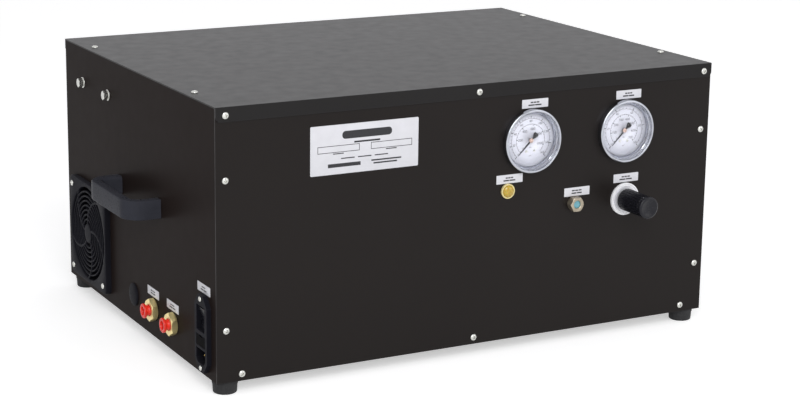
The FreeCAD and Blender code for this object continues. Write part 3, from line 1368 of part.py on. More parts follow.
def regulator_fixed():
    """Panel nut, bonnet with spring chamber, and the body block with its two air ports."""
    thick, ring, neck = sheet.sheet_thick, sheet.ring_thick, sheet.neck_radius
    nut = turned("regulator_panel_nut", [
        (neck + sheet.neck_clearance, 0), (sheet.ring_radius, 0), (sheet.ring_radius, ring - 1, 1.0),
        (sheet.ring_radius - 1, ring), (neck + sheet.neck_clearance, ring)])
    keep(place(nut, *regulator_spot()))

    end, bore, top = -sheet.bonnet_deep, sheet.bonnet_bore, sheet.neck_reach - sheet.bonnet_top
    screw = sheet.stem_radius + sheet.running_gap
    bonnet = turned("regulator_bonnet", [
        (bore, end), (sheet.bonnet_radius, end), (sheet.bonnet_radius, -thick), (neck, -thick),
        (neck, sheet.neck_reach), (screw, sheet.neck_reach), (screw, top), (bore, top)])
    keep(place(bonnet, *regulator_spot()))

    half = sheet.body_side / 2
    block = new_body("regulator_body")
    pad(block, "XY", [rectangle(-half, -half, half, half)], sheet.body_deep, end - sheet.body_deep)
    port = circle(0, end - sheet.body_deep / 2, sheet.port_tube_radius + sheet.running_gap)
    cut(block, "YZ", [port], half / 2, half, inward=True)
    cut(block, "YZ", [port], half / 2, -half, inward=False)
    keep(place(block, *regulator_spot()))


def regulator_stem():
    """Adjusting screw: it turns in the bonnet and its collar bears on the wall from inside."""
    under = sheet.neck_reach - sheet.bonnet_top - sheet.spring_end_gap
    collar, radius = sheet.stem_collar_radius, sheet.stem_radius
    end = under - sheet.stem_collar_thick
    body = turned("regulator_stem", [(0, end), (collar, end), (collar, under), (radius, under),
                                     (radius, sheet.stem_reach), (0, sheet.stem_reach)])
    return keep(place(body, *regulator_spot()))


def regulator_knob():
    """Fluted knob on the adjusting screw; it pulls out to unlock and then turns the screw."""
    base, end = sheet.knob_base_radius, sheet.knob_end_radius
    start, reach = sheet.knob_start, sheet.knob_reach
    edge, bore = sheet.knob_rounding, sheet.stem_radius + sheet.running_gap
    body = turned("regulator_knob", [
        (bore, start), (base, start), (end, reach - edge, edge), (end - edge, reach), (0, reach),
        (0, sheet.knob_bore_end), (bore, sheet.knob_bore_end)])
    flute = cut(body, "XY", [circle(base, 0, sheet.flute_radius)], reach - sheet.flute_margin - start, start,
                inward=False)
    around(body, flute, sheet.flute_count)
    return keep(place(body, *regulator_spot()))


def regulator_spring():
    """Coil spring between the collar and the diaphragm end of the bonnet."""
    under = sheet.neck_reach - sheet.bonnet_top - sheet.spring_end_gap - sheet.stem_collar_thick
    wire, gap = sheet.spring_wire, sheet.spring_end_gap
    low = wire + gap - sheet.bonnet_deep
    pitch = (under - wire - gap - low) / sheet.spring_turns
    spring = coil("regulator_spring", sheet.spring_coil_radius, wire, pitch, sheet.spring_turns)
    across, back, up, facing = regulator_spot()
    return keep(place(spring, across, back - low, up, facing))


# ---------------------------------------------------------------- refrigeration circuit

def compressor():
    """Hermetic compressor: welded shell on a base plate, terminal cover, rubber mounts and nuts."""
    radius, seam = sheet.compressor_radius, sheet.seam_radius
    lift, plate = sheet.compressor_lift, sheet.compressor_plate
    bottom = plate
    top = plate + sheet.compressor_high
    shoulder = radius / 3
    middle = (bottom + top) / 2
    half_seam = sheet.seam_high / 2
    centre = (sheet.compressor_x, front_face + sheet.compressor_back, pan_top + lift)
    shell = turned("compressor_shell", [
        (0, bottom), (radius - shoulder, bottom, shoulder), (radius, bottom + shoulder),
        (radius, middle - half_seam), (seam, middle - half_seam), (seam, middle + half_seam),
        (radius, middle + half_seam), (radius, top - shoulder, shoulder), (radius - shoulder, top), (0, top)])
    half = sheet.compressor_plate_side / 2
    reach = half - sheet.grommet_inset
    stud = sheet.grommet_stud_radius + sheet.grommet_stud_gap
    studs = [circle(across * reach, back * reach, stud) for across in (-1, 1) for back in (-1, 1)]
    pad(shell, "XY", [rounded_rectangle(-half, -half, half, half, sheet.grommet_inset)] + studs, plate)
    keep(place(shell, *centre))

    cover = new_body("terminal_cover")
    wide, low = sheet.cover_wide / 2, middle + half_seam + 1
    front = -math.sqrt(value(radius) ** 2 - value(wide) ** 2)
    pad(cover, "XY", [rounded_rectangle(-wide, -seam - sheet.cover_deep, wide, front, as_size(5))],
        top - shoulder - low, low)
    cut(cover, "XY", [circle(0, 0, radius + sheet.running_gap)], top, low, inward=False)
    keep(place(cover, *centre))

    outer = sheet.grommet_radius
    waist = (outer - 2, lift / 2)
    mount = turned("grommet_pattern", [(stud, 0), (outer, 0), waist, (outer, lift), (stud, lift)])
    group("compressor_grommets", mount, compressor_stud_places())


def compressor_stud_places():
    return [(across, back, pan_top, UP) for across, back in compressor_stud_spots()]


def compressor_studs():
    """Studs with their nuts, through pan, rubber mount and base plate."""
    nut, nut_thick = sheet.stud_nut_radius, sheet.stud_nut_thick
    thread = sheet.grommet_stud_radius
    stand = sheet.compressor_lift + sheet.compressor_plate
    stud = turned("stud_pattern", [
        (0, -sheet.sheet_thick - 2), (nut, -sheet.sheet_thick - 2), (nut, -sheet.sheet_thick),
        (thread, -sheet.sheet_thick), (thread, stand), (nut, stand), (nut, stand + nut_thick),
        (thread, stand + nut_thick), (thread, stand + nut_thick + 3), (0, stand + nut_thick + 3)])
    return copies_of(stud, compressor_stud_places())


def condenser_front():
    """The condenser's face towards the fan, across the machine."""
    return left_face + sheet.sheet_thick + sheet.fan_deep + sheet.condenser_from_fan


def condenser_pass_heights():
    """Heights of the tube's passes above the pan."""
    passes = int(value(sheet.condenser_passes))
    first = sheet.condenser_lift + sheet.condenser_high / 2 - sheet.condenser_pitch * (passes - 1) / 2
    return [first + sheet.condenser_pitch * number for number in range(passes)]


def condenser_middle():
    return condenser_front() + sheet.condenser_deep / 2, front_face + sheet.fan_from_front


def condenser_end():
    """Where both ends of the condenser's tube are, front to back."""
    return condenser_middle()[1] - sheet.condenser_wide / 2 - sheet.condenser_pitch / 2


def condenser_plate(label, low, thick):
    """Fin or end plate with a hole for each tube pass, its front face at the origin."""
    half = sheet.condenser_deep / 2
    gap = sheet.condenser_tube_radius + sheet.running_gap
    holes = [circle(0, up, gap) for up in condenser_pass_heights()]
    outline = rectangle(-half, low, half, sheet.condenser_lift + sheet.condenser_high)
    plate = new_body(label)
    pad(plate, "XZ", [outline] + holes, thick, reverse=True)
    return plate


def condenser():
    """Coil behind the fan: fins between two end plates that stand on the pan, on one serpentine tube."""
    thick, end = sheet.fin_thick, sheet.bracket_thick
    x, y = condenser_middle()
    front, rear = y - sheet.condenser_wide / 2, y + sheet.condenser_wide / 2
    plate = condenser_plate("end_plate_pattern", 0, end)
    pieces = copies_of(plate, [(x, front, pan_top, UP), (x, rear - end, pan_top, UP)])
    fin = condenser_plate("fin_pattern", sheet.condenser_lift, thick)
    count = int(value(sheet.fin_count))
    pitch = (sheet.condenser_wide - 2 * end) / (count + 1)
    pieces += copies_of(fin, [(x, front + end + pitch * number - thick / 2, pan_top, UP)
                              for number in range(1, count + 1)])
    heights = condenser_pass_heights()
    bend = sheet.condenser_pitch / 2
    ends = (condenser_end(), rear + bend)
    points = [(x, ends[0], pan_top + heights[0])]
    for index, height in enumerate(heights):
        far = ends[(index + 1) % 2]
        points.append((x, far, pan_top + height))
        if index < len(heights) - 1:
            points.append((x, far, pan_top + heights[index + 1]))
    pieces.append(bent_tube("condenser_tube", points, sheet.condenser_tube_radius, bend))
    keep(gathered("condenser_coil", pieces))


def heat_exchanger():
    """Insulated heat exchanger and evaporator on a stand: foam jacket and brazed core."""
    wide, deep, high = sheet.exchanger_wide / 2, sheet.exchanger_deep / 2, sheet.exchanger_high
    foam = sheet.exchanger_foam
    centre = (sheet.exchanger_x, front_face + sheet.exchanger_back)
    outline = rounded_rectangle(-wide, -deep, wide, deep, sheet.exchanger_round)
    core = rectangle(foam - wide, foam - deep, wide - foam, deep - foam)
    jacket = new_body("exchanger_jacket")
    pad(jacket, "XY", [outline, core], high)
    pad(jacket, "XY", [outline], foam)
    pad(jacket, "XY", [outline], foam, high - foam)
    base = pan_top + sheet.exchanger_stand
    keep(place(jacket, *centre, base))
    block = new_body("exchanger_core")
    pad(block, "XY", [core], high - 2 * foam)
    keep(place(block, *centre, base + foam))
    stand = new_body("exchanger_stand")
    thick = sheet.bracket_thick
    leg = [(-wide, 0), (foam - wide, 0), (foam - wide, thick), (thick - wide, thick),
           (thick - wide, sheet.exchanger_stand - thick), (wide - thick, sheet.exchanger_stand - thick),
           (wide - thick, thick), (wide - foam, thick), (wide - foam, 0), (wide, 0),
           (wide, sheet.exchanger_stand), (-wide, sheet.exchanger_stand)]
    pad(stand, "XZ", [leg], 2 * deep, -deep)
    keep(place(stand, *centre, pan_top))


def pipes():
    """Copper pipes of the refrigerant circuit, with the capillary coil, as one group."""
    radius, bend = sheet.pipe_radius, sheet.pipe_bend
    drier_y = front_face + sheet.drier_back
    drier_low = pan_top + sheet.drier_low
    drier_top = drier_low + sheet.drier_long
    shell_y = front_face + sheet.compressor_back
    shell_top = pan_top + sheet.compressor_lift + sheet.compressor_plate + sheet.compressor_high
    hot = sheet.compressor_radius / 2
    high = shell_top + sheet.pipe_rise
    coil_x = condenser_middle()[0]
    coil_y = condenser_end()
    heights = condenser_pass_heights()
    coil_low, coil_high = pan_top + heights[0], pan_top + heights[-1]
    exchanger_top = pan_top + sheet.exchanger_stand + sheet.exchanger_high
    suction_x = sheet.exchanger_x - sheet.exchanger_wide / 2 + sheet.suction_inset
    suction_top = exchanger_top + sheet.pipe_rise
    discharge = bent_tube("discharge_pipe", [
        (sheet.compressor_x - hot, shell_y - hot, shell_top), (sheet.compressor_x - hot, shell_y - hot, high),
        (coil_x, shell_y - hot, high), (coil_x, coil_y - 2 * bend, high),
        (coil_x, coil_y - 2 * bend, coil_high),
        (coil_x, coil_y, coil_high)], radius, bend)
    suction = bent_tube("suction_pipe", [
        (sheet.compressor_x + hot, shell_y, shell_top), (sheet.compressor_x + hot, shell_y, suction_top),
        (suction_x, shell_y, suction_top), (suction_x, shell_y, exchanger_top)],
        radius, bend)
    liquid = bent_tube("liquid_pipe", [
        (coil_x, coil_y, coil_low), (coil_x, drier_y, coil_low), (sheet.drier_x, drier_y, coil_low),
        (sheet.drier_x, drier_y, drier_low)], radius, bend)
    capillary = bent_tube("capillary_tube", capillary_route(drier_y, drier_top), sheet.capillary_radius,
                          sheet.capillary_coil * 0.9)
    keep(gathered("refrigerant_pipes", [discharge, suction, liquid, capillary]))


def capillary_route(drier_y, drier_top):
    """Up from the drier, round and round with rounded corners, and back into the heat exchanger."""
    side, rise = 2 * sheet.capillary_coil, sheet.capillary_pitch / 4
    near_x, far_x = sheet.drier_x, sheet.drier_x + side
    back_y, front_y = drier_y, drier_y - side
    corners = [(near_x, back_y), (near_x, front_y), (far_x, front_y), (far_x, back_y)]
    height = drier_top + side * 0.6
    route = [(near_x, back_y, drier_top)]
    for step in range(4 * int(value(sheet.capillary_turns)) + 3):
        route.append(corners[step % 4] + (height + rise * step,))
    exchanger_face = front_face + sheet.exchanger_back - sheet.exchanger_deep / 2
    return route + [(far_x, exchanger_face, height + rise * step)]


def filter_drier():
    """Spun copper cartridge, upright, with tapered ends."""
    radius, long, neck = sheet.drier_radius, sheet.drier_long, sheet.pipe_radius * 1.4
    taper = radius
    body = turned("filter_drier", [(0, 0), (neck, 0), (radius, taper), (radius, long - taper), (neck, long),
                                   (0, long)])
    return keep(place(body, sheet.drier_x, front_face + sheet.drier_back, pan_top + sheet.drier_low))


# ---------------------------------------------------------------- air path

def air_treatment():
    """Moisture separator with its drain valve, and the air tubes."""
    radius, high = sheet.separator_radius, sheet.separator_high
    x, y = left_face + sheet.separator_from_left, front_face + sheet.separator_back
    low = pan_bottom + sheet.separator_low
    bowl = turned("separator_bowl", [(0, 0), (radius * 0.6, 0), (radius, radius * 0.4), (radius, high),
                                     (radius * 1.15, high), (radius * 1.15, high + sheet.separator_cap),
                                     (0, high + sheet.separator_cap)])
    keep(place(bowl, x, y, low))
    wide, nose = sheet.drain_radius, sheet.drain_nose
    drain = turned("drain_valve", [(0, 0), (wide / 2, 0), (wide / 2, nose), (wide, nose),
                                   (wide, sheet.drain_long), (0, sheet.drain_long)])
    keep(place(drain, x, y, low - sheet.drain_long))

    tube, bend = sheet.port_tube_radius, sheet.tube_bend
    inner_end = left_face + sheet.port_inside_long - sheet.tube_depth
    port_z = pan_bottom + sheet.port_from_pan
    rear_y, front_y = front_face + sheet.rear_port_from_front, front_face + sheet.front_port_from_front
    side_x = sheet.exchanger_x + sheet.exchanger_wide / 2
    front_of_block = front_face + sheet.exchanger_back - sheet.exchanger_deep / 2
    low_z = pan_top + sheet.exchanger_stand + sheet.exchanger_high / 4
    high_z = pan_top + sheet.exchanger_stand + sheet.exchanger_high * 3 / 4
    reg_x, reg_z = left_face + sheet.regulator_at, pan_bottom + sheet.regulator_high
    reg_y = front_face + sheet.bonnet_deep + sheet.body_deep / 2
    sight_x, sight_z = left_face + sheet.sight_at, pan_bottom + sheet.sight_high
    sight_y = front_face + sheet.sight_body_long
    half = sheet.body_side / 2
    cap_z = low + high + sheet.separator_cap / 2
    wet = bent_tube("wet_air_tube", [
        (inner_end, rear_y, port_z), (sheet.exchanger_x, rear_y, port_z), (sheet.exchanger_x, rear_y, low_z),
        (sheet.exchanger_x, front_of_block, low_z)], tube, bend)
    cooled_x, crossing = side_x - 3 * sheet.tube_inset, front_of_block - sheet.tube_standoff
    behind = y + radius + 1.5 * bend
    cooled = bent_tube("cooled_air_tube", [
        (cooled_x, front_of_block, high_z), (cooled_x, crossing, high_z), (x, crossing, high_z),
        (x, behind, high_z), (x, behind, cap_z), (x, y + radius * 1.15, cap_z)], tube, bend)
    dry_x, beside = side_x - sheet.tube_inset, reg_x + half + 2 * bend
    dry = bent_tube("dry_air_tube", [
        (reg_x + half * 0.6, reg_y, reg_z), (beside, reg_y, reg_z), (beside, crossing, reg_z),
        (dry_x, crossing, reg_z), (dry_x, front_of_block, reg_z)], tube, bend)
    outlet = bent_tube("outlet_air_tube", [
        (reg_x - half * 0.6, reg_y, reg_z), (sight_x, reg_y, reg_z),
        (sight_x, reg_y, port_z), (sight_x, front_y, port_z), (inner_end, front_y, port_z)], tube, bend)
    tap_y, tap_z = sight_y + 1.5 * bend, port_z + 2.5 * bend
    sampling = bent_tube("sampling_tube", [
        (sight_x, sight_y, sight_z), (sight_x, tap_y, sight_z), (sight_x, tap_y, tap_z)], tube / 2, bend / 2)
    keep(gathered("air_tubes", [wet, cooled, dry, outlet, sampling]))


def control_gear():
    """Bracket on the two hex bolts, with the control box hung under its shelf."""
    thick, long = sheet.bracket_thick, sheet.bracket_long
    middle = front_face + (sheet.bracket_bolt_front + sheet.bracket_bolt_rear) / 2
    high = pan_bottom + sheet.bracket_bolt_high
    body = new_body("control_bracket")
    leg, shelf = sheet.bracket_leg / 2, sheet.bracket_shelf
    angle = [(0, -leg), (shelf, -leg), (shelf, thick - leg), (thick, thick - leg), (thick, leg), (0, leg)]
    pad(body, "XZ", [angle], long, -long / 2)
    half = (sheet.bracket_bolt_rear - sheet.bracket_bolt_front) / 2
    holes = [circle(side * half, 0, sheet.bolt_radius + sheet.screw_clearance) for side in (-1, 1)]
    cut(body, "YZ", holes, 4 * thick)
    keep(place(body, left_face + sheet.sheet_thick, middle, high))

    box = new_body("control_box")
    wide, deep = sheet.box_wide, sheet.box_deep / 2
    pad(box, "XY", [rounded_rectangle(0, -deep, wide, deep, as_size(4))], sheet.box_high, -sheet.box_high)
    left = left_face + sheet.sheet_thick + thick + sheet.drawer_gap
    keep(place(box, left, middle, high - leg))


def check_all():
    """Stop at any failed feature or bad solid."""
    document.recompute()
    for item in document.Objects:
        if "Invalid" in item.State or "Error" in item.State:
            raise ValueError(f"{item.Label}: {item.State}")
    for piece in subparts:
        if piece.Shape.isNull() or not piece.Shape.isValid():
            raise ValueError(f"{piece.Label}: bad shape")


def build():
    base_pan()
    left_panel()
    right_panel()
    front_panel()
    rear_panel()
    lid()
    casing_screws()
    feet()
    handle("handle_left", LEFT)
    handle("handle_right", RIGHT)
    keep(gathered("inner_fasteners", foot_screws() + handle_bolts() + compressor_studs()))
    plates()
    hole_plug()
    fan_guard()
    fan_frame()
    fan_rotor()
    fan_screws()
    bracket_bolts()
    air_ports()
    inlet_housing()
    inlet_pins()
    rocker_switch()
    fuse_drawer()
    inlet_screws()
    gauges()
    for number, spot in enumerate(gauge_spots(), 1):
        gauge_pointer(number, spot)
    pilot_lamp()
    moisture_indicator()
    regulator_fixed()
    regulator_stem()
    regulator_knob()
    regulator_spring()
    compressor()
    condenser()
    heat_exchanger()
    filter_drier()
    pipes()
    air_treatment()
    control_gear()
    check_all()
    os.makedirs("parts", exist_ok=True)
    for piece in subparts:
        piece.Shape.exportStep(f"parts/{piece.Label}.step")
    print(len(subparts), "sub-parts")


build()
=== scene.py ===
"""Dresses the refrigerated air dryer: finishes, fine pieces, stage, lamps and camera."""

import math

import bmesh
import bpy
from bpy.props import FloatProperty, FloatVectorProperty, IntProperty, PointerProperty
from mathutils import Matrix, Vector


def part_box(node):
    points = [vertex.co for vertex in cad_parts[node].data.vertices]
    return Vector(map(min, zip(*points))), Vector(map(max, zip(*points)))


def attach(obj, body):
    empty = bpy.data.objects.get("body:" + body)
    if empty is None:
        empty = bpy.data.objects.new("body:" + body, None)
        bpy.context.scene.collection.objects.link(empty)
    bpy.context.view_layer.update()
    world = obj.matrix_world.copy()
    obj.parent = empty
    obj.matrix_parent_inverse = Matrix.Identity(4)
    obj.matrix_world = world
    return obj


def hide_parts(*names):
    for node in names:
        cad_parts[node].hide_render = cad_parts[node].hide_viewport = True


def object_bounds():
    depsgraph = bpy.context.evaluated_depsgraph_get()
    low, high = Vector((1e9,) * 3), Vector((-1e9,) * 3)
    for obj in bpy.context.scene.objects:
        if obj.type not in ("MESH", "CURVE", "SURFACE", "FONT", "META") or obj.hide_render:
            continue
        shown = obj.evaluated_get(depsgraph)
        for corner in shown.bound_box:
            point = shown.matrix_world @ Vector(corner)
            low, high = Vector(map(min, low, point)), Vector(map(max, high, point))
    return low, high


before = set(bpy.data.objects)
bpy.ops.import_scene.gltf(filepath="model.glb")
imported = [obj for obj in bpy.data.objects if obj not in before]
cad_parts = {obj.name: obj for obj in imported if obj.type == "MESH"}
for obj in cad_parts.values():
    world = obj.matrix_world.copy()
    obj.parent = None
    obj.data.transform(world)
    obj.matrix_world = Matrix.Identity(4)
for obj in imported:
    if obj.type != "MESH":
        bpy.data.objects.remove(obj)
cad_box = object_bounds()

bl_info = {
    "name": "Refrigerated air dryer",
    "version": (1, 0, 0),
    "blender": (4, 5, 0),
    "location": "View3D > Sidebar > Air dryer",
    "description": "Builds the visible pieces and finishes of a bench air dryer around its CAD frame",
    "category": "Object",
}

MM = 0.001
FRONT, REAR = Vector((0, -1, 0)), Vector((0, 1, 0))
LEFT, RIGHT = Vector((-1, 0, 0)), Vector((1, 0, 0))
UP = Vector((0, 0, 1))
PRINT_SINK = 0.01 * MM  # how far printed marks reach into what they are printed on
CABINET = "cabinet"


# ---------------------------------------------------------------- sizes and colours


def length(name, description, default, **limits):
    """A length in metres, which the sidebar shows in the scene's own unit."""
    return FloatProperty(name=name, description=description, default=default, unit="LENGTH",
                         **{"min": 0.0, "precision": 5, **limits})


def seen_colour(name, description, *default):
    """A colour that is written, and shown in the sidebar, as it is seen."""
    return FloatVectorProperty(name=name, description=description, default=default, size=3,
                               min=0, max=1, subtype="COLOR_GAMMA")


class DryerSizes(bpy.types.PropertyGroup):
    """Sizes of the details that the CAD frame leaves plain."""

    fold: length("Sheet edge", "Rounding of the sheet-metal folds and edges", 0.0007)
    moulded_edge: length("Moulded edge", "Rounding of moulded plastic edges", 0.0006)
    fine_edge: length("Fine edge", "Rounding of small machined edges", 0.00025)
    print_height: length("Print height", "Thickness of printed marks", 0.00004, precision=6)
    thread_pitch: length("Screw pitch", "Distance between screw threads", 0.0008, min=0.0001)
    knob_flutes: IntProperty(name="Knob flutes", description="Number of flutes around the regulator knob",
                             default=24, min=6)
    fan_blades: IntProperty(name="Fan blades", description="Number of blades on the fan rotor",
                            default=7, min=3)
    guard_rings: IntProperty(name="Guard rings", description="Number of rings in the fan guard",
                             default=7, min=1)
    guard_spokes: IntProperty(name="Guard spokes", description="Number of curved spokes in the fan guard",
                              default=5, min=2)
    lens: FloatProperty(name="Lens", description="Focal length of the camera, in millimetres",
                        default=87.559, min=10.0)


class DryerColours(bpy.types.PropertyGroup):
    """Colours of the finishes, as they are seen."""

    enamel: seen_colour("Enamel", "Semi-gloss black enamel of the cabinet", 0.112, 0.097, 0.092)
    # Lighter and greyer than the black enamel: painted light on the lid.
    lid_enamel_painted_light: seen_colour("Lid enamel", "Enamel of the lid", 0.127, 0.122, 0.123)
    # Lighter and warmer than the black enamel: painted light on the sides, which get almost no shine.
    side_enamel_painted_light: seen_colour("Side enamel", "Enamel of the side panels", 0.147, 0.122, 0.115)
    galvanised: seen_colour("Galvanised", "Sheet inside the cabinet", 0.58, 0.59, 0.60)
    rubber: seen_colour("Rubber", "Feet and mounts", 0.13, 0.13, 0.135)
    plastic: seen_colour("Plastic", "Black moulded plastic", 0.100, 0.100, 0.122)
    # Half as light as the inlet's black plastic: painted shade in the inlet's recess.
    drawer: seen_colour("Drawer plastic", "Fuse drawer of the power inlet", 0.050, 0.046, 0.052)
    # Far lighter than the black plastic that the handles are made of: a painted sheen.
    grip: seen_colour("Grip plastic", "Moulded carrying handles", 0.215, 0.219, 0.246)
    zinc: seen_colour("Zinc plate", "Screws and nuts", 0.80, 0.80, 0.78)
    brass: seen_colour("Brass", "Air fittings", 0.93, 0.86, 0.62)
    nickel: seen_colour("Nickel", "Plated body of the moisture indicator", 0.66, 0.62, 0.55)
    gold: seen_colour("Contact gold", "Contacts of the power inlet", 0.90, 0.77, 0.48)
    red: seen_colour("Red", "Transit plugs", 0.93, 0.16, 0.09)
    white: seen_colour("White", "Plates and labels", 0.855, 0.855, 0.875)
    dial: seen_colour("Dial", "Dials of the gauges", 0.745, 0.75, 0.79)
    ink: seen_colour("Ink", "Printed marks", 0.10, 0.10, 0.12)
    chrome: seen_colour("Chrome", "Gauge bezels", 0.70, 0.71, 0.74)
    hub: seen_colour("Copper hub", "Hubs of the gauge pointers", 0.78, 0.68, 0.64)
    amber: seen_colour("Amber", "Lens of the power lamp", 0.75, 0.62, 0.02)
    lamp_rim: seen_colour("Lamp rim", "Rim of the power lamp", 0.90, 0.84, 0.60)
    blue: seen_colour("Indicator blue", "Dry colour of the moisture indicator", 0.35, 0.63, 0.69)
    ring: seen_colour("Panel ring", "Ring nut behind the regulator knob", 0.96, 0.96, 0.97)
    cast: seen_colour("Cast metal", "Regulator body and panel nut", 0.86, 0.86, 0.88)
    copper: seen_colour("Copper", "Refrigerant pipes", 0.86, 0.58, 0.44)
    foam: seen_colour("Foam", "Insulation jacket", 0.20, 0.20, 0.20)
    tube: seen_colour("Air tube", "Nylon air tubes", 0.28, 0.42, 0.68)
    floor: seen_colour("Floor", "Floor of the stage", 0.93, 0.93, 0.93)


def sizes():
    return bpy.context.scene.dryer_sizes


def colours():
    return bpy.context.scene.dryer_colours


# ---------------------------------------------------------------- finishes


def linear(colour):
    """Scene-linear colour, with alpha, of a colour as it is seen."""
    return [c / 12.92 if c <= 0.04045 else ((c + 0.055) / 1.055) ** 2.4 for c in colour] + [1.0]


def scaled(colour, factor):
    """A lighter or darker version of a scene-linear colour."""
    return [min(c * factor, 1.0) for c in colour[:3]] + [1.0]


class Finish:
    """Nodes of one material, all driven by the object's own coordinates."""

    def __init__(self, name, colour, metallic=0.0, **sockets):
        self.material = bpy.data.materials.new(name)
        self.material.use_nodes = True
        self.tree = self.material.node_tree
        self.shader = self.tree.nodes["Principled BSDF"]
        self.colour = linear(colour)
        self.shader.inputs["Base Color"].default_value = self.colour
        self.shader.inputs["Metallic"].default_value = metallic
        for socket, number in sockets.items():
            self.shader.inputs[socket.replace("_", " ")].default_value = number
        self.place = self.node("ShaderNodeTexCoord").outputs["Object"]
        self.tint = None

    def node(self, kind, **values):
        """A new node with some of its own settings."""
        node = self.tree.nodes.new(kind)
        for key, number in values.items():
            setattr(node, key, number)
        return node

    def link(self, start, end):
        self.tree.links.new(start, end)

    def noise(self, grains_per_metre, detail=3.0, stretch=(1, 1, 1)):
        """Soft noise over the surface; stretch draws it out along an axis."""
        mapping = self.node("ShaderNodeMapping")
        mapping.inputs["Scale"].default_value = stretch
        noise = self.node("ShaderNodeTexNoise")
        noise.inputs["Scale"].default_value = grains_per_metre
        noise.inputs["Detail"].default_value = detail
        self.link(self.place, mapping.inputs["Vector"])
        self.link(mapping.outputs["Vector"], noise.inputs["Vector"])
        return noise.outputs["Fac"]

    def between(self, source, low, high, from_low=0.3, from_high=0.7):
        """Spreads a linked value over a new range; the default source range suits noise."""
        reach = self.node("ShaderNodeMapRange")
        for socket, number in (("From Min", from_low), ("From Max", from_high),
                               ("To Min", low), ("To Max", high)):
            reach.inputs[socket].default_value = number
        self.link(source, reach.inputs["Value"])
        return reach.outputs["Result"]

    def mix(self, share, first, second):
        """Mixes two colours, or a linked colour with another, by a linked share."""
        mix = self.node("ShaderNodeMix", data_type="RGBA")
        self.link(share, mix.inputs["Factor"])
        for socket, colour in ((mix.inputs["A"], first), (mix.inputs["B"], second)):
            if isinstance(colour, list):
                socket.default_value = colour
            else:
                self.link(colour, socket)
        return mix.outputs["Result"]

    def mottle(self, grains_per_metre, darker, lighter, stretch=(1, 1, 1), detail=4.0):
        """Cloudy colour variation."""
        share = self.between(self.noise(grains_per_metre, detail, stretch), 0, 1)
        first = scaled(self.colour, darker)
        self.tint = self.mix(share, first, scaled(self.colour, lighter))
        self.link(self.tint, self.shader.inputs["Base Color"])
        return self

    def overlay(self, share, colour):
        """Lays another colour over the present one by a linked share."""
        self.tint = self.mix(share, self.tint or self.colour, linear(colour))
        self.link(self.tint, self.shader.inputs["Base Color"])
        return self

    def edge_highlight_and_wear(self, colour, radius, strength=0.6):
        """Lighter colour on edges, out to a radius from them: a painted highlight along folds and moulded
        edges, and wear to bare metal on screws and brass.
        """
        edge = self.node("ShaderNodeBevel", samples=4)
        edge.inputs["Radius"].default_value = radius
        turn = self.node("ShaderNodeVectorMath", operation="DOT_PRODUCT")
        self.link(edge.outputs["Normal"], turn.inputs[0])
        self.link(self.node("ShaderNodeNewGeometry").outputs["Normal"], turn.inputs[1])
        return self.overlay(self.between(turn.outputs["Value"], 0, strength, 0.985, 0.86), colour)

    def dusty(self, colour, strength=0.12):
        """A film of dust on the faces that look up."""
        split = self.node("ShaderNodeSeparateXYZ")
        self.link(self.node("ShaderNodeNewGeometry").outputs["Normal"], split.inputs["Vector"])
        flat = self.between(split.outputs["Z"], 0, strength, 0.6, 1.0)
        cloud = self.between(self.noise(45, 5.0), 0.4, 1.0)
        both = self.node("ShaderNodeMath", operation="MULTIPLY")
        self.link(flat, both.inputs[0])
        self.link(cloud, both.inputs[1])
        return self.overlay(both.outputs["Value"], colour)

    def rough(self, low, high, grains_per_metre):
        """Roughness that wanders between two levels."""
        source = self.noise(grains_per_metre, 4.0)
        self.link(self.between(source, low, high), self.shader.inputs["Roughness"])
        return self

    def relief(self, grains_per_metre, height, strength=0.5, stretch=(1, 1, 1), detail=2.0):
        """Fine bumps of the given height in metres."""
        bump = self.node("ShaderNodeBump")
        bump.inputs["Strength"].default_value = strength
        bump.inputs["Distance"].default_value = height
        self.link(self.noise(grains_per_metre, detail, stretch), bump.inputs["Height"])
        old = self.shader.inputs["Normal"]
        if old.is_linked:
            self.link(old.links[0].from_socket, bump.inputs["Normal"])
        self.link(bump.outputs["Normal"], old)
        return self

    def lets_lamps_through(self):
        """Clear glass that doesn't darken what lies behind it."""
        path, clear, mix = (self.node(kind) for kind in
                            ("ShaderNodeLightPath", "ShaderNodeBsdfTransparent", "ShaderNodeMixShader"))
        self.link(path.outputs["Is Shadow Ray"], mix.inputs["Fac"])
        self.link(self.shader.outputs["BSDF"], mix.inputs[1])
        self.link(clear.outputs["BSDF"], mix.inputs[2])
        self.link(mix.outputs["Shader"], self.tree.nodes["Material Output"].inputs["Surface"])
        return self


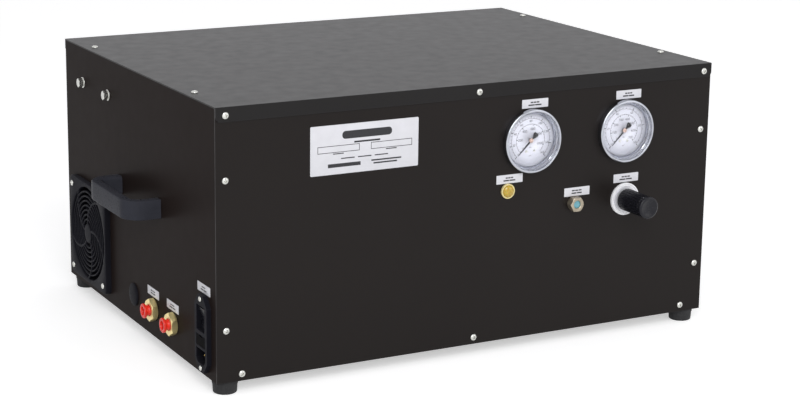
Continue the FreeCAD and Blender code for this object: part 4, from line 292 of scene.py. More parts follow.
def make_finishes():
    """Every finish by name; most names are the record's own material slots."""
    c = colours()
    made = {}

    def add(name, colour, metallic=0.0, **sockets):
        made[name] = Finish(name, colour, metallic, **sockets)
        return made[name]

    def enamel(name, colour, shine):
        paint = add(name, colour, Specular_IOR_Level=shine)
        # The lighter folds and edges of the enamel are a painted highlight.
        paint.mottle(6, 0.94, 1.06, detail=6.0).edge_highlight_and_wear((0.33, 0.33, 0.35), 0.0012, 0.12)
        paint.dusty((0.50, 0.48, 0.45), 0.015)
        return paint.rough(0.34, 0.39, 60).relief(620, 0.00005, 0.3).relief(95, 0.0001, 0.03)

    enamel("black_enamel", c.enamel, 0.13)
    # The sides' enamel is a lighter copy of the black enamel with almost no shine, which paints in their
    # light.
    enamel("side_enamel_painted_light", c.side_enamel_painted_light, 0.010)
    # The lid's enamel is a lighter copy of the black enamel, which paints in the light on the lid.
    enamel("lid_enamel_painted_light", c.lid_enamel_painted_light, 0.13)
    add("inner_steel", c.galvanised, 0.85).mottle(70, 0.82, 1.12, detail=1.0).rough(0.38, 0.58, 90)
    made["inner_steel"].relief(500, 0.00003, 0.3)
    add("black_rubber", c.rubber).mottle(60, 0.8, 1.25).rough(0.72, 0.88, 300).relief(1400, 0.00006, 0.6)
    made["black_rubber"].dusty((0.42, 0.40, 0.37), 0.2)
    for name, finish in (("screw_steel", c.zinc), ("steel_case", c.galvanised)):
        add(name, finish, 1.0).mottle(260, 0.86, 1.1).rough(0.2, 0.36, 500).relief(2200, 0.000012, 0.35)
        made[name].edge_highlight_and_wear((0.95, 0.95, 0.93), 0.0003, 0.6)
    for name, colour, shine, low, high in (
            ("black_plastic", c.plastic, 0.17, 0.26, 0.36), ("fan_plastic", c.plastic, 0.05, 0.48, 0.62),
            # The fuse drawer's darker plastic is painted shade in the inlet's recess.
            ("inlet_plastic", c.plastic, 0.03, 0.42, 0.52), ("drawer_plastic_painted_shade", c.drawer, 0.01, 0.5, 0.6),
            ("switch_plastic", c.plastic, 0.08, 0.2, 0.3), ("knob_plastic", c.plastic, 0.24, 0.2, 0.3),
            # The handles' lighter colour is a painted sheen.
            ("handle_plastic_painted_sheen", c.grip, 0.02, 0.24, 0.34)):
        add(name, colour, Specular_IOR_Level=shine).mottle(40, 0.9, 1.12).rough(low, high, 420)
        # The lighter moulded edges of the plastics are a painted highlight.
        made[name].relief(1500, 0.00003, 0.35).edge_highlight_and_wear((0.26, 0.26, 0.31), 0.0007, 0.35)
        made[name].dusty((0.42, 0.41, 0.42), 0.05)
    add("brass", c.brass, 0.85).mottle(150, 0.9, 1.05).rough(0.32, 0.44, 300)
    made["brass"].relief(1800, 0.00002, 0.4, (0.12, 1, 1)).edge_highlight_and_wear((0.98, 0.93, 0.74), 0.0004, 0.6)
    add("plated_brass", c.nickel, 0.75).mottle(200, 0.85, 1.1).rough(0.28, 0.42, 400)
    made["plated_brass"].relief(1500, 0.00002, 0.4)
    add("pin_gold", c.gold, 1.0).mottle(300, 0.9, 1.08).rough(0.16, 0.26, 500).relief(2500, 0.00001, 0.3)
    add("red_plastic", c.red, Subsurface_Weight=0.12, Subsurface_Scale=0.002).mottle(120, 0.88, 1.08)
    made["red_plastic"].rough(0.3, 0.42, 300).relief(900, 0.00004, 0.35)
    add("white_print", c.white).mottle(80, 0.96, 1.02).rough(0.32, 0.42, 300).relief(1200, 0.00002, 0.25)
    add("dial_white", c.dial).mottle(90, 0.97, 1.03).rough(0.5, 0.6, 400).relief(1800, 0.00001, 0.25)
    add("ink", c.ink).mottle(400, 0.8, 1.25).rough(0.45, 0.6, 700).relief(2600, 0.00001, 0.3)
    add("bezel_chrome", c.chrome, 1.0).mottle(60, 0.95, 1.03).rough(0.1, 0.18, 200)
    made["bezel_chrome"].relief(1200, 0.000006, 0.3)
    glass = add("clear_glass", (0.99, 0.99, 0.99), Transmission_Weight=1.0, IOR=1.18)
    glass.mottle(30, 0.98, 1.0).rough(0.01, 0.03, 60).lets_lamps_through()
    add("pointer_black", c.ink).mottle(200, 0.85, 1.2).rough(0.35, 0.5, 600).relief(2400, 0.00001, 0.3)
    add("pointer_hub", c.hub, 0.5).mottle(500, 0.88, 1.08).rough(0.22, 0.34, 900).relief(3000, 0.00001, 0.3)
    add("lamp_rim", c.lamp_rim).mottle(120, 0.94, 1.05).rough(0.22, 0.32, 400).relief(1500, 0.00002, 0.3)
    lens = add("amber_lens", c.amber, Subsurface_Weight=0.25, Subsurface_Scale=0.003, Coat_Weight=0.8)
    lens.mottle(260, 0.78, 1.12).rough(0.12, 0.2, 400).relief(800, 0.00006, 0.5)
    blue = add("indicator_blue", c.blue, Coat_Weight=1.0, Coat_Roughness=0.04)
    blue.mottle(300, 0.86, 1.08).rough(0.3, 0.45, 900).relief(2000, 0.00003, 0.4)
    add("panel_ring", c.ring).mottle(120, 0.97, 1.02).rough(0.3, 0.4, 500).relief(900, 0.00002, 0.3)
    add("regulator_metal", c.cast, 0.35).mottle(120, 0.92, 1.05).rough(0.3, 0.42, 500)
    made["regulator_metal"].relief(900, 0.00003, 0.35)
    add("compressor_black", c.rubber, Coat_Weight=0.4, Coat_Roughness=0.2).mottle(30, 0.85, 1.3)
    made["compressor_black"].rough(0.3, 0.42, 80).relief(420, 0.00008, 0.3).dusty((0.4, 0.38, 0.36), 0.15)
    copper = add("copper", c.copper, 1.0).mottle(90, 0.7, 1.06, detail=6.0).rough(0.2, 0.42, 160)
    tarnish = copper.between(copper.noise(35, 6.0), 0, 0.5, 0.55, 0.75)
    copper.overlay(tarnish, (0.42, 0.27, 0.22)).relief(1500, 0.00002, 0.3)
    add("coil_metal", c.cast, 0.9).mottle(120, 0.85, 1.06).rough(0.26, 0.4, 300).relief(900, 0.00003, 0.4)
    add("foam_black", c.foam).mottle(300, 0.72, 1.3).rough(0.85, 0.95, 400).relief(900, 0.00035, 0.8)
    add("air_tube", c.tube, Subsurface_Weight=0.15, Subsurface_Scale=0.002).mottle(60, 0.92, 1.08)
    made["air_tube"].rough(0.28, 0.38, 200).relief(600, 0.00003, 0.25)
    bowl = add("separator_plastic", (0.78, 0.80, 0.78), Transmission_Weight=0.55, IOR=1.58)
    bowl.mottle(50, 0.94, 1.04).rough(0.16, 0.26, 150).relief(500, 0.00003, 0.3)
    fuse = add("fuse_glass", (0.93, 0.94, 0.94), Transmission_Weight=0.7, IOR=1.5)
    fuse.mottle(200, 0.92, 1.03).rough(0.05, 0.12, 500).relief(1200, 0.00001, 0.2)
    return {name: finish.material for name, finish in made.items()}


finishes = {}


def finish(name):
    """The material of a finish; the first call makes them all."""
    if not finishes:
        finishes.update(make_finishes())
    return finishes[name]


# ---------------------------------------------------------------- shapes


def facing(point, outward):
    """Matrix of a spot on the cabinet: its own z points outward and its own y up, or back on the lid."""
    z = Vector(outward)
    y = REAR if abs(z.z) > 0.9 else UP
    x = y.cross(z)
    matrix = Matrix((x, y, z)).transposed().to_4x4()
    matrix.translation = Vector(point)
    return matrix


def rounded(points, closed=False, steps=5):
    """An outline whose corners given as (x, y, radius) become arcs."""
    out, count = [], len(points)
    for i, point in enumerate(points):
        here, radius = Vector(point[:2]), point[2] if len(point) > 2 else 0
        if not radius or (not closed and i in (0, count - 1)):
            out.append(tuple(here))
            continue
        to_last = (Vector(points[i - 1][:2]) - here).normalized()
        to_next = (Vector(points[(i + 1) % count][:2]) - here).normalized()
        half = to_last.angle(to_next) / 2
        centre = here + (to_last + to_next).normalized() * (radius / math.sin(half))
        start = here + to_last * (radius / math.tan(half)) - centre
        end = here + to_next * (radius / math.tan(half)) - centre
        first = math.atan2(start.y, start.x)
        turn = (math.atan2(end.y, end.x) - first + math.pi) % (2 * math.pi) - math.pi
        for k in range(steps + 1):
            angle = first + turn * k / steps
            out.append((centre.x + radius * math.cos(angle), centre.y + radius * math.sin(angle)))
    return out


def rectangle(half_wide, half_tall, height):
    """Corners of a level rectangle about the z axis."""
    return [(x * half_wide, y * half_tall, height) for x, y in ((-1, -1), (1, -1), (1, 1), (-1, 1))]


def box_outline(low_x, low_y, high_x, high_y, radius=0.0, steps=5):
    """Outline of an upright box with rounded corners."""
    return rounded([(low_x, low_y, radius), (high_x, low_y, radius), (high_x, high_y, radius),
                    (low_x, high_y, radius)], closed=True, steps=steps)


class Shape:
    """Faces of one piece, gathered before it becomes an object."""

    def __init__(self):
        self.mesh = bmesh.new()

    def skin(self, rows, at=None, loop=True, ends=True, cycle=False):
        """Joins rows of points; a row of one point closes the skin there."""
        at = at or Matrix()
        new = [[self.mesh.verts.new(at @ Vector(p)) for p in row] for row in rows]
        if cycle:
            new.append(new[0])
        count = max(map(len, new))
        for a, b in zip(new, new[1:]):
            for i in range(count if loop else count - 1):
                j = (i + 1) % count
                corners = dict.fromkeys((a[i % len(a)], a[j % len(a)], b[j % len(b)], b[i % len(b)]))
                if len(corners) > 2:
                    self.mesh.faces.new(list(corners))
        if ends and not cycle:
            for row in (new[0], new[-1]):
                if len(row) > 2:
                    self.mesh.faces.new(row)
        return self

    def lathe(self, profile, at=None, steps=48, cycle=False, swell=None):
        """Turns (radius, height) points about z; swell(angle, radius, height) may change a radius."""
        rows = []
        for radius, height in profile:
            if radius <= 0:
                rows.append([(0, 0, height)])
                continue
            row = []
            for k in range(steps):
                angle = 2 * math.pi * k / steps
                r = swell(angle, radius, height) if swell else radius
                row.append((r * math.cos(angle), r * math.sin(angle), height))
            rows.append(row)
        return self.skin(rows, at, ends=not cycle, cycle=cycle)

    def prism(self, outline, low, high, at=None, edge=0.0, segments=3):
        """A flat outline drawn out along z; edge rounds its upper edge."""
        self.skin([[(x, y, low) for x, y in outline], [(x, y, high) for x, y in outline]], at)
        if edge:
            self.mesh.faces.ensure_lookup_table()
            top = self.mesh.faces[-1]
            bmesh.ops.bevel(self.mesh, geom=list(top.edges), offset=edge, segments=segments,
                            profile=0.5, affect="EDGES", clamp_overlap=True)
        return self

    def sweep(self, path, sections, up, at=None, cycle=False):
        """Carries a section of (sideways, upward) points along a path that lies square to up."""
        up, count, rows = Vector(up), len(path), []
        for i, point in enumerate(path):
            before = path[i - 1] if i or cycle else path[i]
            after = path[(i + 1) % count] if i < count - 1 or cycle else path[i]
            side = (Vector(after) - Vector(before)).normalized().cross(up).normalized()
            section = sections[i] if isinstance(sections[0][0], (list, tuple)) else sections
            rows.append([Vector(point) + side * s + up * u for s, u in section])
        return self.skin(rows, at, cycle=cycle)

    def stamp(self, mesh, at):
        """Adds a copy of a finished mesh."""
        first = len(self.mesh.verts)
        self.mesh.from_mesh(mesh)
        self.mesh.verts.ensure_lookup_table()
        bmesh.ops.transform(self.mesh, matrix=at, verts=self.mesh.verts[first:])
        return self

    def to_mesh(self, name, sharp=32.0):
        """The gathered faces as a mesh; edges of more than sharp degrees stay sharp."""
        bmesh.ops.recalc_face_normals(self.mesh, faces=self.mesh.faces)
        mesh = bpy.data.meshes.new(name)
        self.mesh.to_mesh(mesh)
        self.mesh.free()
        mesh.shade_smooth()
        mesh.set_sharp_from_angle(angle=math.radians(sharp))
        return mesh


def piece(name, shape, finish_name, body=CABINET, stands_for=(), slot=None, sharp=32.0):
    """Makes an object of a shape, gives it its finish and lets it ride on its body."""
    mesh = shape.to_mesh(name, sharp) if isinstance(shape, Shape) else shape
    mesh.materials.clear()
    mesh.materials.append(finish(finish_name))
    made = bpy.data.objects.new(name, mesh)
    bpy.context.scene.collection.objects.link(made)
    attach(made, body)
    if stands_for:
        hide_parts(*stands_for)
    return made


def carved(mesh, cutter):
    """A mesh with another one cut out of it."""
    scene = bpy.context.scene
    pair = [bpy.data.objects.new(part.name, part) for part in (mesh, cutter)]
    for made in pair:
        scene.collection.objects.link(made)
    cut = pair[0].modifiers.new("cut", "BOOLEAN")
    cut.operation, cut.solver, cut.object = "DIFFERENCE", "EXACT", pair[1]
    bpy.context.view_layer.update()
    result = bpy.data.meshes.new_from_object(pair[0].evaluated_get(bpy.context.evaluated_depsgraph_get()))
    for made in pair:
        bpy.data.objects.remove(made)
    result.shade_smooth()
    result.set_sharp_from_angle(angle=math.radians(30))
    return result


def stand_in(node, shape, finish_name, body=CABINET, **more):
    """Makes the piece that is seen in place of a CAD node, named after it."""
    return piece(node + "_dressed", shape, finish_name, body, stands_for=[node], **more)


def side_spot(low, high, x):
    """The spot at a given x on the axis of something on the left side."""
    middle = (low + high) / 2
    return facing((x, middle.y, middle.z), LEFT)


def front_spot(low, high):
    """The spot where the axis of a front fitting meets the panel's outer face."""
    middle = (low + high) / 2
    return facing((middle.x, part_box("front_panel")[0].y, middle.z), FRONT)


def solids(node):
    """(lowest, highest) corner of each separate solid of a CAD node."""
    mesh = bmesh.new()
    mesh.from_mesh(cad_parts[node].data)
    bmesh.ops.remove_doubles(mesh, verts=mesh.verts, dist=1e-6)
    mesh.verts.index_update()
    seen, boxes = set(), []
    for start in mesh.verts:
        if start.index in seen:
            continue
        seen.add(start.index)
        front, points = [start], []
        while front:
            vertex = front.pop()
            points.append(vertex.co.copy())
            for edge in vertex.link_edges:
                other = edge.other_vert(vertex)
                if other.index not in seen:
                    seen.add(other.index)
                    front.append(other)
        boxes.append((Vector(map(min, zip(*points))), Vector(map(max, zip(*points)))))
    mesh.free()
    return sorted(boxes, key=lambda pair: [round(c, 5) for c in pair[0]])


def spots(node, head):
    """Where each fastener of a node sits: on its long axis, its own z outward, head above the surface."""
    middle = (cad_box[0] + cad_box[1]) / 2
    found = []
    for low, high in solids(node):
        size = high - low
        axis = max(range(3), key=lambda k: size[k])
        centre = (low + high) / 2
        outward = Vector((0, 0, 0))
        outward[axis] = 1 if centre[axis] > middle[axis] else -1
        seat = centre + outward * (size[axis] / 2 - head)
        found.append(facing(seat, outward))
    return found


def dress(node, finish_name, edge=0.0):
    """Gives a CAD node its finish and softens its edges; its own mesh stays as it is."""
    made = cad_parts[node]
    if "custom_normal" in made.data.attributes:
        made.data.attributes.remove(made.data.attributes["custom_normal"])
    made.data.shade_smooth()
    made.data.materials.clear()
    made.data.materials.append(finish(finish_name))
    weld = made.modifiers.new("weld", "WELD")
    weld.merge_threshold = 1e-6
    if edge:
        flat = made.modifiers.new("flat", "DECIMATE")
        flat.decimate_type, flat.angle_limit = "DISSOLVE", math.radians(0.8)
        soft = made.modifiers.new("soft", "BEVEL")
        soft.width, soft.segments, soft.limit_method = edge, 2, "ANGLE"
        soft.angle_limit, soft.harden_normals = math.radians(34), True
    else:
        made.data.set_sharp_from_angle(angle=math.radians(34))
    return made


def thread(radius, low, high, pitch, depth):
    """Profile points of a thread from high down to low."""
    turns = max(1, int((high - low) / pitch))
    step = (high - low) / turns
    root = radius - depth
    points = []
    for k in range(turns):
        top = high - k * step
        points += [(root, top), (radius, top - step * 0.35), (radius, top - step * 0.6)]
    return points + [(root, low)]


def hexagon_swell(across):
    """Swell of a hexagon whose corners are turned off; radii inside its flats stay round."""
    apothem = across / 2

    def swell(angle, radius, height):
        flat = apothem / math.cos((angle + math.pi / 6) % (math.pi / 3) - math.pi / 6)
        return min(radius, flat) if radius > apothem * 0.98 else radius
    return swell


def hexagon_profile(across, low, high, inner, both=True):
    """Profile of a hexagonal nut or head; both says whether its lower corners are turned off too."""
    corner, start, parts = across / math.sqrt(3), across / 2 * 0.985, 4
    slope = (corner - start) * 0.577
    turned = [(start + (corner - start) * k / parts, slope * k / parts) for k in range(parts + 1)]
    rows = [(radius, low + rise) for radius, rise in turned] if both else [(corner, low)]
    rows += [(radius, high - rise) for radius, rise in reversed(turned)]
    return [(inner, low)] + rows + [(inner, high)]


def hexagon_piece(shape, across, low, high, inner, at, both=True):
    """Adds a turned-off hexagon around a bore, or a solid one where inner is 0."""
    profile = hexagon_profile(across, low, high, inner, both)
    return shape.lathe(profile, at, steps=72, cycle=inner > 0, swell=hexagon_swell(across))


# ---------------------------------------------------------------- pieces


class DryerOperator:
    """What all the operators of the air dryer share."""

    bl_options = {"REGISTER"}


class DRYER_OT_casing(DryerOperator, bpy.types.Operator):
    """Sheet-metal cabinet: lid, panels and base pan"""

    bl_idname = "dryer.casing"
    bl_label = "Casing"

    def execute(self, context):
        fold = sizes().fold
        dress("lid", "lid_enamel_painted_light", fold)
        for node in ("front_panel", "rear_panel", "base_pan"):
            dress(node, "black_enamel", fold * 0.7)
        for node in ("side_panel_left", "side_panel_right"):
            dress(node, "side_enamel_painted_light", fold * 0.7)
        return {"FINISHED"}


def cross_screw(name, head_radius, head_high, shank_radius, shank_long, pitch):
    """Domed screw with a cross recess and a threaded shank; its seat is at height 0."""
    rim, steps = 0.22, 8
    dome = [(head_radius * math.cos(a), head_high * (rim + (1 - rim) * math.sin(a)))
            for a in (math.pi / 2 * k / steps for k in range(steps))]
    seat = [(shank_radius, 0), (head_radius * 0.97, 0), (head_radius, head_high * 0.1)]
    shape = Shape()
    shape.lathe(seat + dome + [(0, head_high)], steps=36)
    plain, tip, groove = 0.4 * MM, 0.6 * MM, 0.28 * MM
    shank = [(0, -shank_long), (shank_radius * 0.5, -shank_long)]
    shank += reversed(thread(shank_radius, tip - shank_long, -plain, pitch, groove))
    shape.lathe(shank + [(shank_radius, 0), (0, 0)], steps=24)
    screw = shape.to_mesh(name)
    arm, half, deep = head_radius * 0.56, head_radius * 0.14, head_high * 0.62
    for wide, tall in ((arm, half), (half, arm)):
        slot = Shape()
        slot.skin([rectangle(wide * 0.45, tall * 0.8, head_high - deep),
                   rectangle(wide * 1.02, tall * 1.05, head_high * 1.2)])
        screw = carved(screw, slot.to_mesh(name + "_recess"))
    return screw


def dress_screws(node, head, shank, long, pitch, first_turn, turn):
    """Puts a carved screw in place of each screw of a node, with its recess turned a little further."""
    low, high = solids(node)[0]
    screw = cross_screw(node, (high.z - low.z) / 2, head, shank, long, pitch)
    shape = Shape()
    for number, spot in enumerate(spots(node, head)):
        shape.stamp(screw, spot @ Matrix.Rotation(math.radians(turn * number + first_turn), 4, "Z"))
    stand_in(node, shape, "screw_steel")


class DRYER_OT_casing_screws(DryerOperator, bpy.types.Operator):
    """Domed screws of the lid and panels"""

    bl_idname = "dryer.casing_screws"
    bl_label = "Casing screws"

    def execute(self, context):
        dress_screws("casing_screws", head=2.4 * MM, shank=2 * MM, long=9 * MM,
                     pitch=sizes().thread_pitch, first_turn=20, turn=37)
        return {"FINISHED"}


class DRYER_OT_feet(DryerOperator, bpy.types.Operator):
    """Rubber feet under the base pan"""

    bl_idname = "dryer.feet"
    bl_label = "Feet"

    def execute(self, context):
        bore, recess, seat, draft = 2.2 * MM, 6 * MM, 7 * MM, 1.2 * MM
        shape = Shape()
        for low, high in solids("rubber_feet"):
            radius, tall = (high.x - low.x) / 2, high.z - low.z
            foot = radius - draft
            profile = rounded([(bore, seat), (recess, seat, 0.4 * MM), (recess, 0, 0.8 * MM),
                               (foot, 0, 1.6 * MM), (foot + draft / 2, tall * 0.62, 0.8 * MM),
                               (radius, tall * 0.72, 0.6 * MM), (radius, tall, 0.6 * MM), (bore, tall)],
                              closed=True, steps=4)
            centre = (low + high) / 2
            shape.lathe(profile, Matrix.Translation((centre.x, centre.y, low.z)), steps=56, cycle=True)
        stand_in("rubber_feet", shape, "black_rubber")
        return {"FINISHED"}


class DRYER_OT_handles(DryerOperator, bpy.types.Operator):
    """Moulded bow handles on both sides"""

    bl_idname = "dryer.handles"
    bl_label = "Handles"

    def execute(self, context):
        leg, grip, bend, spacing = 14 * MM, 13 * MM, 17 * MM, 5 * MM
        for node, outward in (("handle_left", LEFT), ("handle_right", RIGHT)):
            low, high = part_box(node)
            reach, half, tall = high.x - low.x, (high.y - low.y) / 2, (high.z - low.z) / 2
            middle = (low + high) / 2
            middle.x = high.x if outward.x < 0 else low.x
            side, crown = half - leg / 2, reach - grip / 2
            path = rounded([(-side, 0), (-side, crown, bend), (side, crown, bend), (side, 0)], steps=14)
            dense = self.divided(path, spacing)
            sections = [self.section(leg / 2 if y < reach - grip else grip / 2, tall) for x, y in dense]
            shape = Shape()
            shape.sweep([(x, 0, y) for x, y in dense], sections, (0, 1, 0), facing(middle, outward))
            stand_in(node, shape, "handle_plastic_painted_sheen", slot="black_plastic", sharp=40)
        return {"FINISHED"}

    @staticmethod
    def divided(points, step):
        """The same line with a point at every step or less."""
        out = []
        for a, b in zip(points, points[1:]):
            parts = max(1, int((Vector(b) - Vector(a)).length / step))
            out += [tuple(Vector(a).lerp(Vector(b), k / parts)) for k in range(parts)]
        return out + [tuple(points[-1])]

    @staticmethod
    def section(half, tall):
        """Cross section, well rounded outside and flat inside."""
        outer, inner = 4 * MM, 1.2 * MM
        return rounded([(-half, -tall, outer), (half, -tall, inner),
                        (half, tall, inner), (-half, tall, outer)], closed=True, steps=5)


class DRYER_OT_plates(DryerOperator, bpy.types.Operator):
    """Name plate and small labels, with plain printed bars in place of words"""

    bl_idname = "dryer.plates"
    bl_label = "Plates and labels"

    def execute(self, context):
        self.name_plate()
        self.labels()
        return {"FINISHED"}

    @staticmethod
    def name_plate():
        low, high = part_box("name_plate")
        spot = facing((low.x, low.y, low.z), FRONT)
        wide, tall, thick = high.x - low.x, high.z - low.z, high.y - low.y
        plate = Shape()
        plate.prism(box_outline(0, 0, wide, tall, 1.2 * MM), -thick, 0, spot, sizes().fine_edge * 0.6)
        stand_in("name_plate", plate, "white_print")
        ink = Shape()

        def bar(x, y, long, high_bar, radius=0.0):
            """A printed bar from (x, y), in shares of the plate."""
            x, y, long, high_bar = x * wide, y * tall, long * wide, high_bar * tall
            outline = box_outline(x, y, x + long, y + high_bar, radius)
            ink.prism(outline, -PRINT_SINK, sizes().print_height, spot)

        bar(0.29, 0.70, 0.46, 0.16, 3.9 * MM)
        bar(0.40, 0.605, 0.24, 0.035)
        box_low, box_wide, box_high, line, upright = 0.44, 0.385, 0.13, 0.012, 0.0048
        for x in (0.065, 0.555):
            for y in (box_low, box_low + box_high):
                bar(x, y, box_wide, line)
            for start in (x, x + box_wide - upright):
                bar(start, box_low, upright, box_high)
            bar(x + 0.14, 0.405, 0.1, 0.02)
        for k in range(3):
            bar(0.28 + 0.155 * k, 0.30, 0.125, 0.022)
        bar(0.16, 0.14, 0.3, 0.075)
        bar(0.56, 0.195, 0.28, 0.03)
        bar(0.58, 0.135, 0.22, 0.03)
        piece("name_plate_print", ink, "ink", slot="white_print")

    @staticmethod
    def labels():
        """Each label has two rows of bars, whose lengths differ from label to label."""
        labels, marks, gap = Shape(), Shape(), 0.7 * MM
        rows = ((0.30, 0.56, 3), (0.42, 0.26, 2))
        for number, (low, high) in enumerate(solids("panel_labels")):
            size = high - low
            on_front = size.x > size.y
            corner = (low.x, low.y if on_front else high.y, low.z)
            spot = facing(corner, FRONT if on_front else LEFT)
            wide, tall, thick = max(size.x, size.y), size.z, min(size.x, size.y)
            labels.prism(box_outline(0, 0, wide, tall, 0.5 * MM), -thick, 0, spot, sizes().fine_edge * 0.4)
            for row, (share, height, bars) in enumerate(rows):
                long = wide * (share + 0.05 * ((number + row) % 3))
                x, y = (wide - long) / 2, tall * height
                for k in range(bars):
                    start = x + long * k / bars
                    marks.prism(box_outline(start, y, start + long / bars - gap, y + tall * 0.15),
                                -PRINT_SINK, sizes().print_height, spot)
        stand_in("panel_labels", labels, "white_print")
        piece("panel_labels_print", marks, "ink", slot="white_print")


class DRYER_OT_fan(DryerOperator, bpy.types.Operator):
    """Fan guard, frame, rotor and screws"""

    bl_idname = "dryer.fan"
    bl_label = "Fan"

    def execute(self, context):
        self.guard()
        dress("fan_frame", "fan_plastic", sizes().moulded_edge)
        self.rotor()
        dress_screws("fan_screws", head=2.2 * MM, shank=1.9 * MM, long=29.9 * MM,
                     pitch=0.8 * MM, first_turn=10, turn=29)
        return {"FINISHED"}

    def guard(self):
        """Square frame with a round bore, rings, a centre disc, curved spokes and screw bosses."""
        low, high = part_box("fan_guard")
        half, thick = (high.z - low.z) / 2, high.x - low.x
        spot = side_spot(low, high, high.x)
        bore, disc, rib, below_face = half - 5 * MM, 12 * MM, 3 * MM, 0.4 * MM
        bottom, top = thick - rib - below_face, thick - below_face
        shape = Shape()
        shape.skin(self.frame_rows(half, thick, bore), spot, cycle=True)
        count = sizes().guard_rings
        for number in range(1, count + 1):
            radius = disc + (bore - disc) * number / (count + 1)
            shape.lathe(self.rib_section(1.15 * MM, 1.0 * MM, bottom, top, 0.5 * MM, 0.9 * MM, radius),
                        spot, steps=96, cycle=True)
        hub = rounded([(0, bottom), (disc, bottom, 0.4 * MM), (disc, top, 1.2 * MM),
                       (disc * 0.6, top + 0.3 * MM), (0, top + 0.4 * MM)], steps=4)
        shape.lathe(hub, spot, steps=72)
        spoke = self.rib_section(1.6 * MM, 1.4 * MM, bottom - 0.5 * MM, top + 0.2 * MM, 0.4 * MM, 1.0 * MM)
        for number in range(sizes().guard_spokes):
            shape.sweep(self.spoke_path(number, disc * 0.8, bore), spoke, (0, 0, 1), spot)
        screw_at = half - 10 * MM
        boss = rounded([(2.2 * MM, thick - 1 * MM), (5.2 * MM, thick - 1 * MM),
                        (5.0 * MM, thick - 0.02 * MM, 0.4 * MM), (2.2 * MM, thick - 0.02 * MM)], True, 3)
        for x in (-1, 1):
            for y in (-1, 1):
                at = spot @ Matrix.Translation((x * screw_at, y * screw_at, 0))
                shape.lathe(boss, at, steps=32, cycle=True)
        stand_in("fan_guard", shape, "fan_plastic")

    def frame_rows(self, half, thick, bore, steps=144):
        """Rows of points over the guard's frame, from its outer side over its face into its bore."""
        turns = [2 * math.pi * k / steps for k in range(steps)]
        rows = []
        small, large = 0.35 * MM, 1.2 * MM
        for level, inset in ((0, 0), (thick - large, 0), (thick - small, small), (thick, large)):
            rows.append([self.square(turn, half - inset, 8 * MM, level) for turn in turns])
        for level, radius in ((thick, bore + 1.6 * MM), (thick - 0.5 * MM, bore + 0.5 * MM),
                              (thick - 1.6 * MM, bore), (0, bore)):
            rows.append([(radius * math.cos(turn), radius * math.sin(turn), level) for turn in turns])
        return rows

    @staticmethod
    def rib_section(half_base, half_crest, bottom, top, base_round, crest_round, middle=0.0):
        """Tapered rib section about a middle, rounded at its base and crest."""
        return rounded([(middle - half_base, bottom, base_round), (middle + half_base, bottom, base_round),
                        (middle + half_crest, top, crest_round), (middle - half_crest, top, crest_round)],
                       True, 3)

    @staticmethod
    def spoke_path(number, start, bore, steps=24):
        """Arc of a spoke from the centre disc into the frame."""
        first_turn, diameter, reach = 175.7, 2 * 0.62 * (bore + 1.5 * MM), bore + 1 * MM
        path = []
        for k in range(steps + 1):
            radius = start + (reach - start) * k / steps
            turn = math.radians(first_turn + 360 * number / sizes().guard_spokes)
            angle = turn - math.asin(radius / diameter)
            path.append((radius * math.cos(angle), radius * math.sin(angle), 0))
        return path

    @staticmethod
    def square(angle, half, corner, level):
        """Point of a rounded square in a direction."""
        c, s = math.cos(angle), math.sin(angle)
        reach = half / max(abs(c), abs(s))
        x, y = reach * c, reach * s
        flat = half - corner
        if abs(x) > flat and abs(y) > flat:
            along = flat * (abs(c) + abs(s))
            reach = along + math.sqrt(max(along * along - 2 * flat * flat + corner * corner, 0))
            x, y = reach * c, reach * s
        return (x, y, level)

    @staticmethod
    def rotor():
        """Hub cup on its shaft, with twisted and cambered blades."""
        low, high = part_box("fan_rotor")
        spot = side_spot(low, high, low.x)
        tip, hub, shaft, wall = (high.z - low.z) / 2, 21 * MM, 2.5 * MM, 2 * MM
        deep = high.x - low.x
        cup_back = -deep + 5 * MM
        shape = Shape()
        shape.lathe(rounded([(0, -deep), (shaft, -deep, 0.4 * MM), (shaft, cup_back + 1 * MM),
                             (hub - wall, cup_back + 1 * MM), (hub - wall, cup_back, 0.3 * MM),
                             (hub, cup_back, 0.3 * MM), (hub, 0, 2.2 * MM), (hub * 0.7, 0),
                             (hub * 0.66, -0.5 * MM), (hub * 0.3, -0.5 * MM), (hub * 0.26, 0), (0, 0)],
                            steps=4), spot, steps=64)
        blades, root, camber_high, half_thick = sizes().fan_blades, hub - 1.5 * MM, 2.2 * MM, 0.9 * MM
        for number in range(blades):
            rows = []
            for k in range(9):
                share = k / 8
                radius = root + (tip - 0.3 * MM - root) * share
                pitch = math.radians(50 - 17 * share)
                chord = (20 + 12 * share) * MM
                swept = 2 * math.pi * number / blades - 0.22 * share * share
                row = []
                for j in range(16):
                    turn = 2 * math.pi * j / 16
                    along = math.cos(turn) * chord / 2
                    camber = (1 - (2 * along / chord) ** 2) * camber_high
                    aside = math.sin(turn) * half_thick * (1 - 0.35 * math.cos(turn)) + camber
                    across = along * math.cos(pitch) - aside * math.sin(pitch)
                    height = along * math.sin(pitch) + aside * math.cos(pitch) + (cup_back - 1 * MM) / 2
                    angle = swept + across / radius
                    row.append((radius * math.cos(angle), radius * math.sin(angle), height))
                rows.append(row)
            shape.skin(rows, spot)
        stand_in("fan_rotor", shape, "fan_plastic", "fan_rotor")


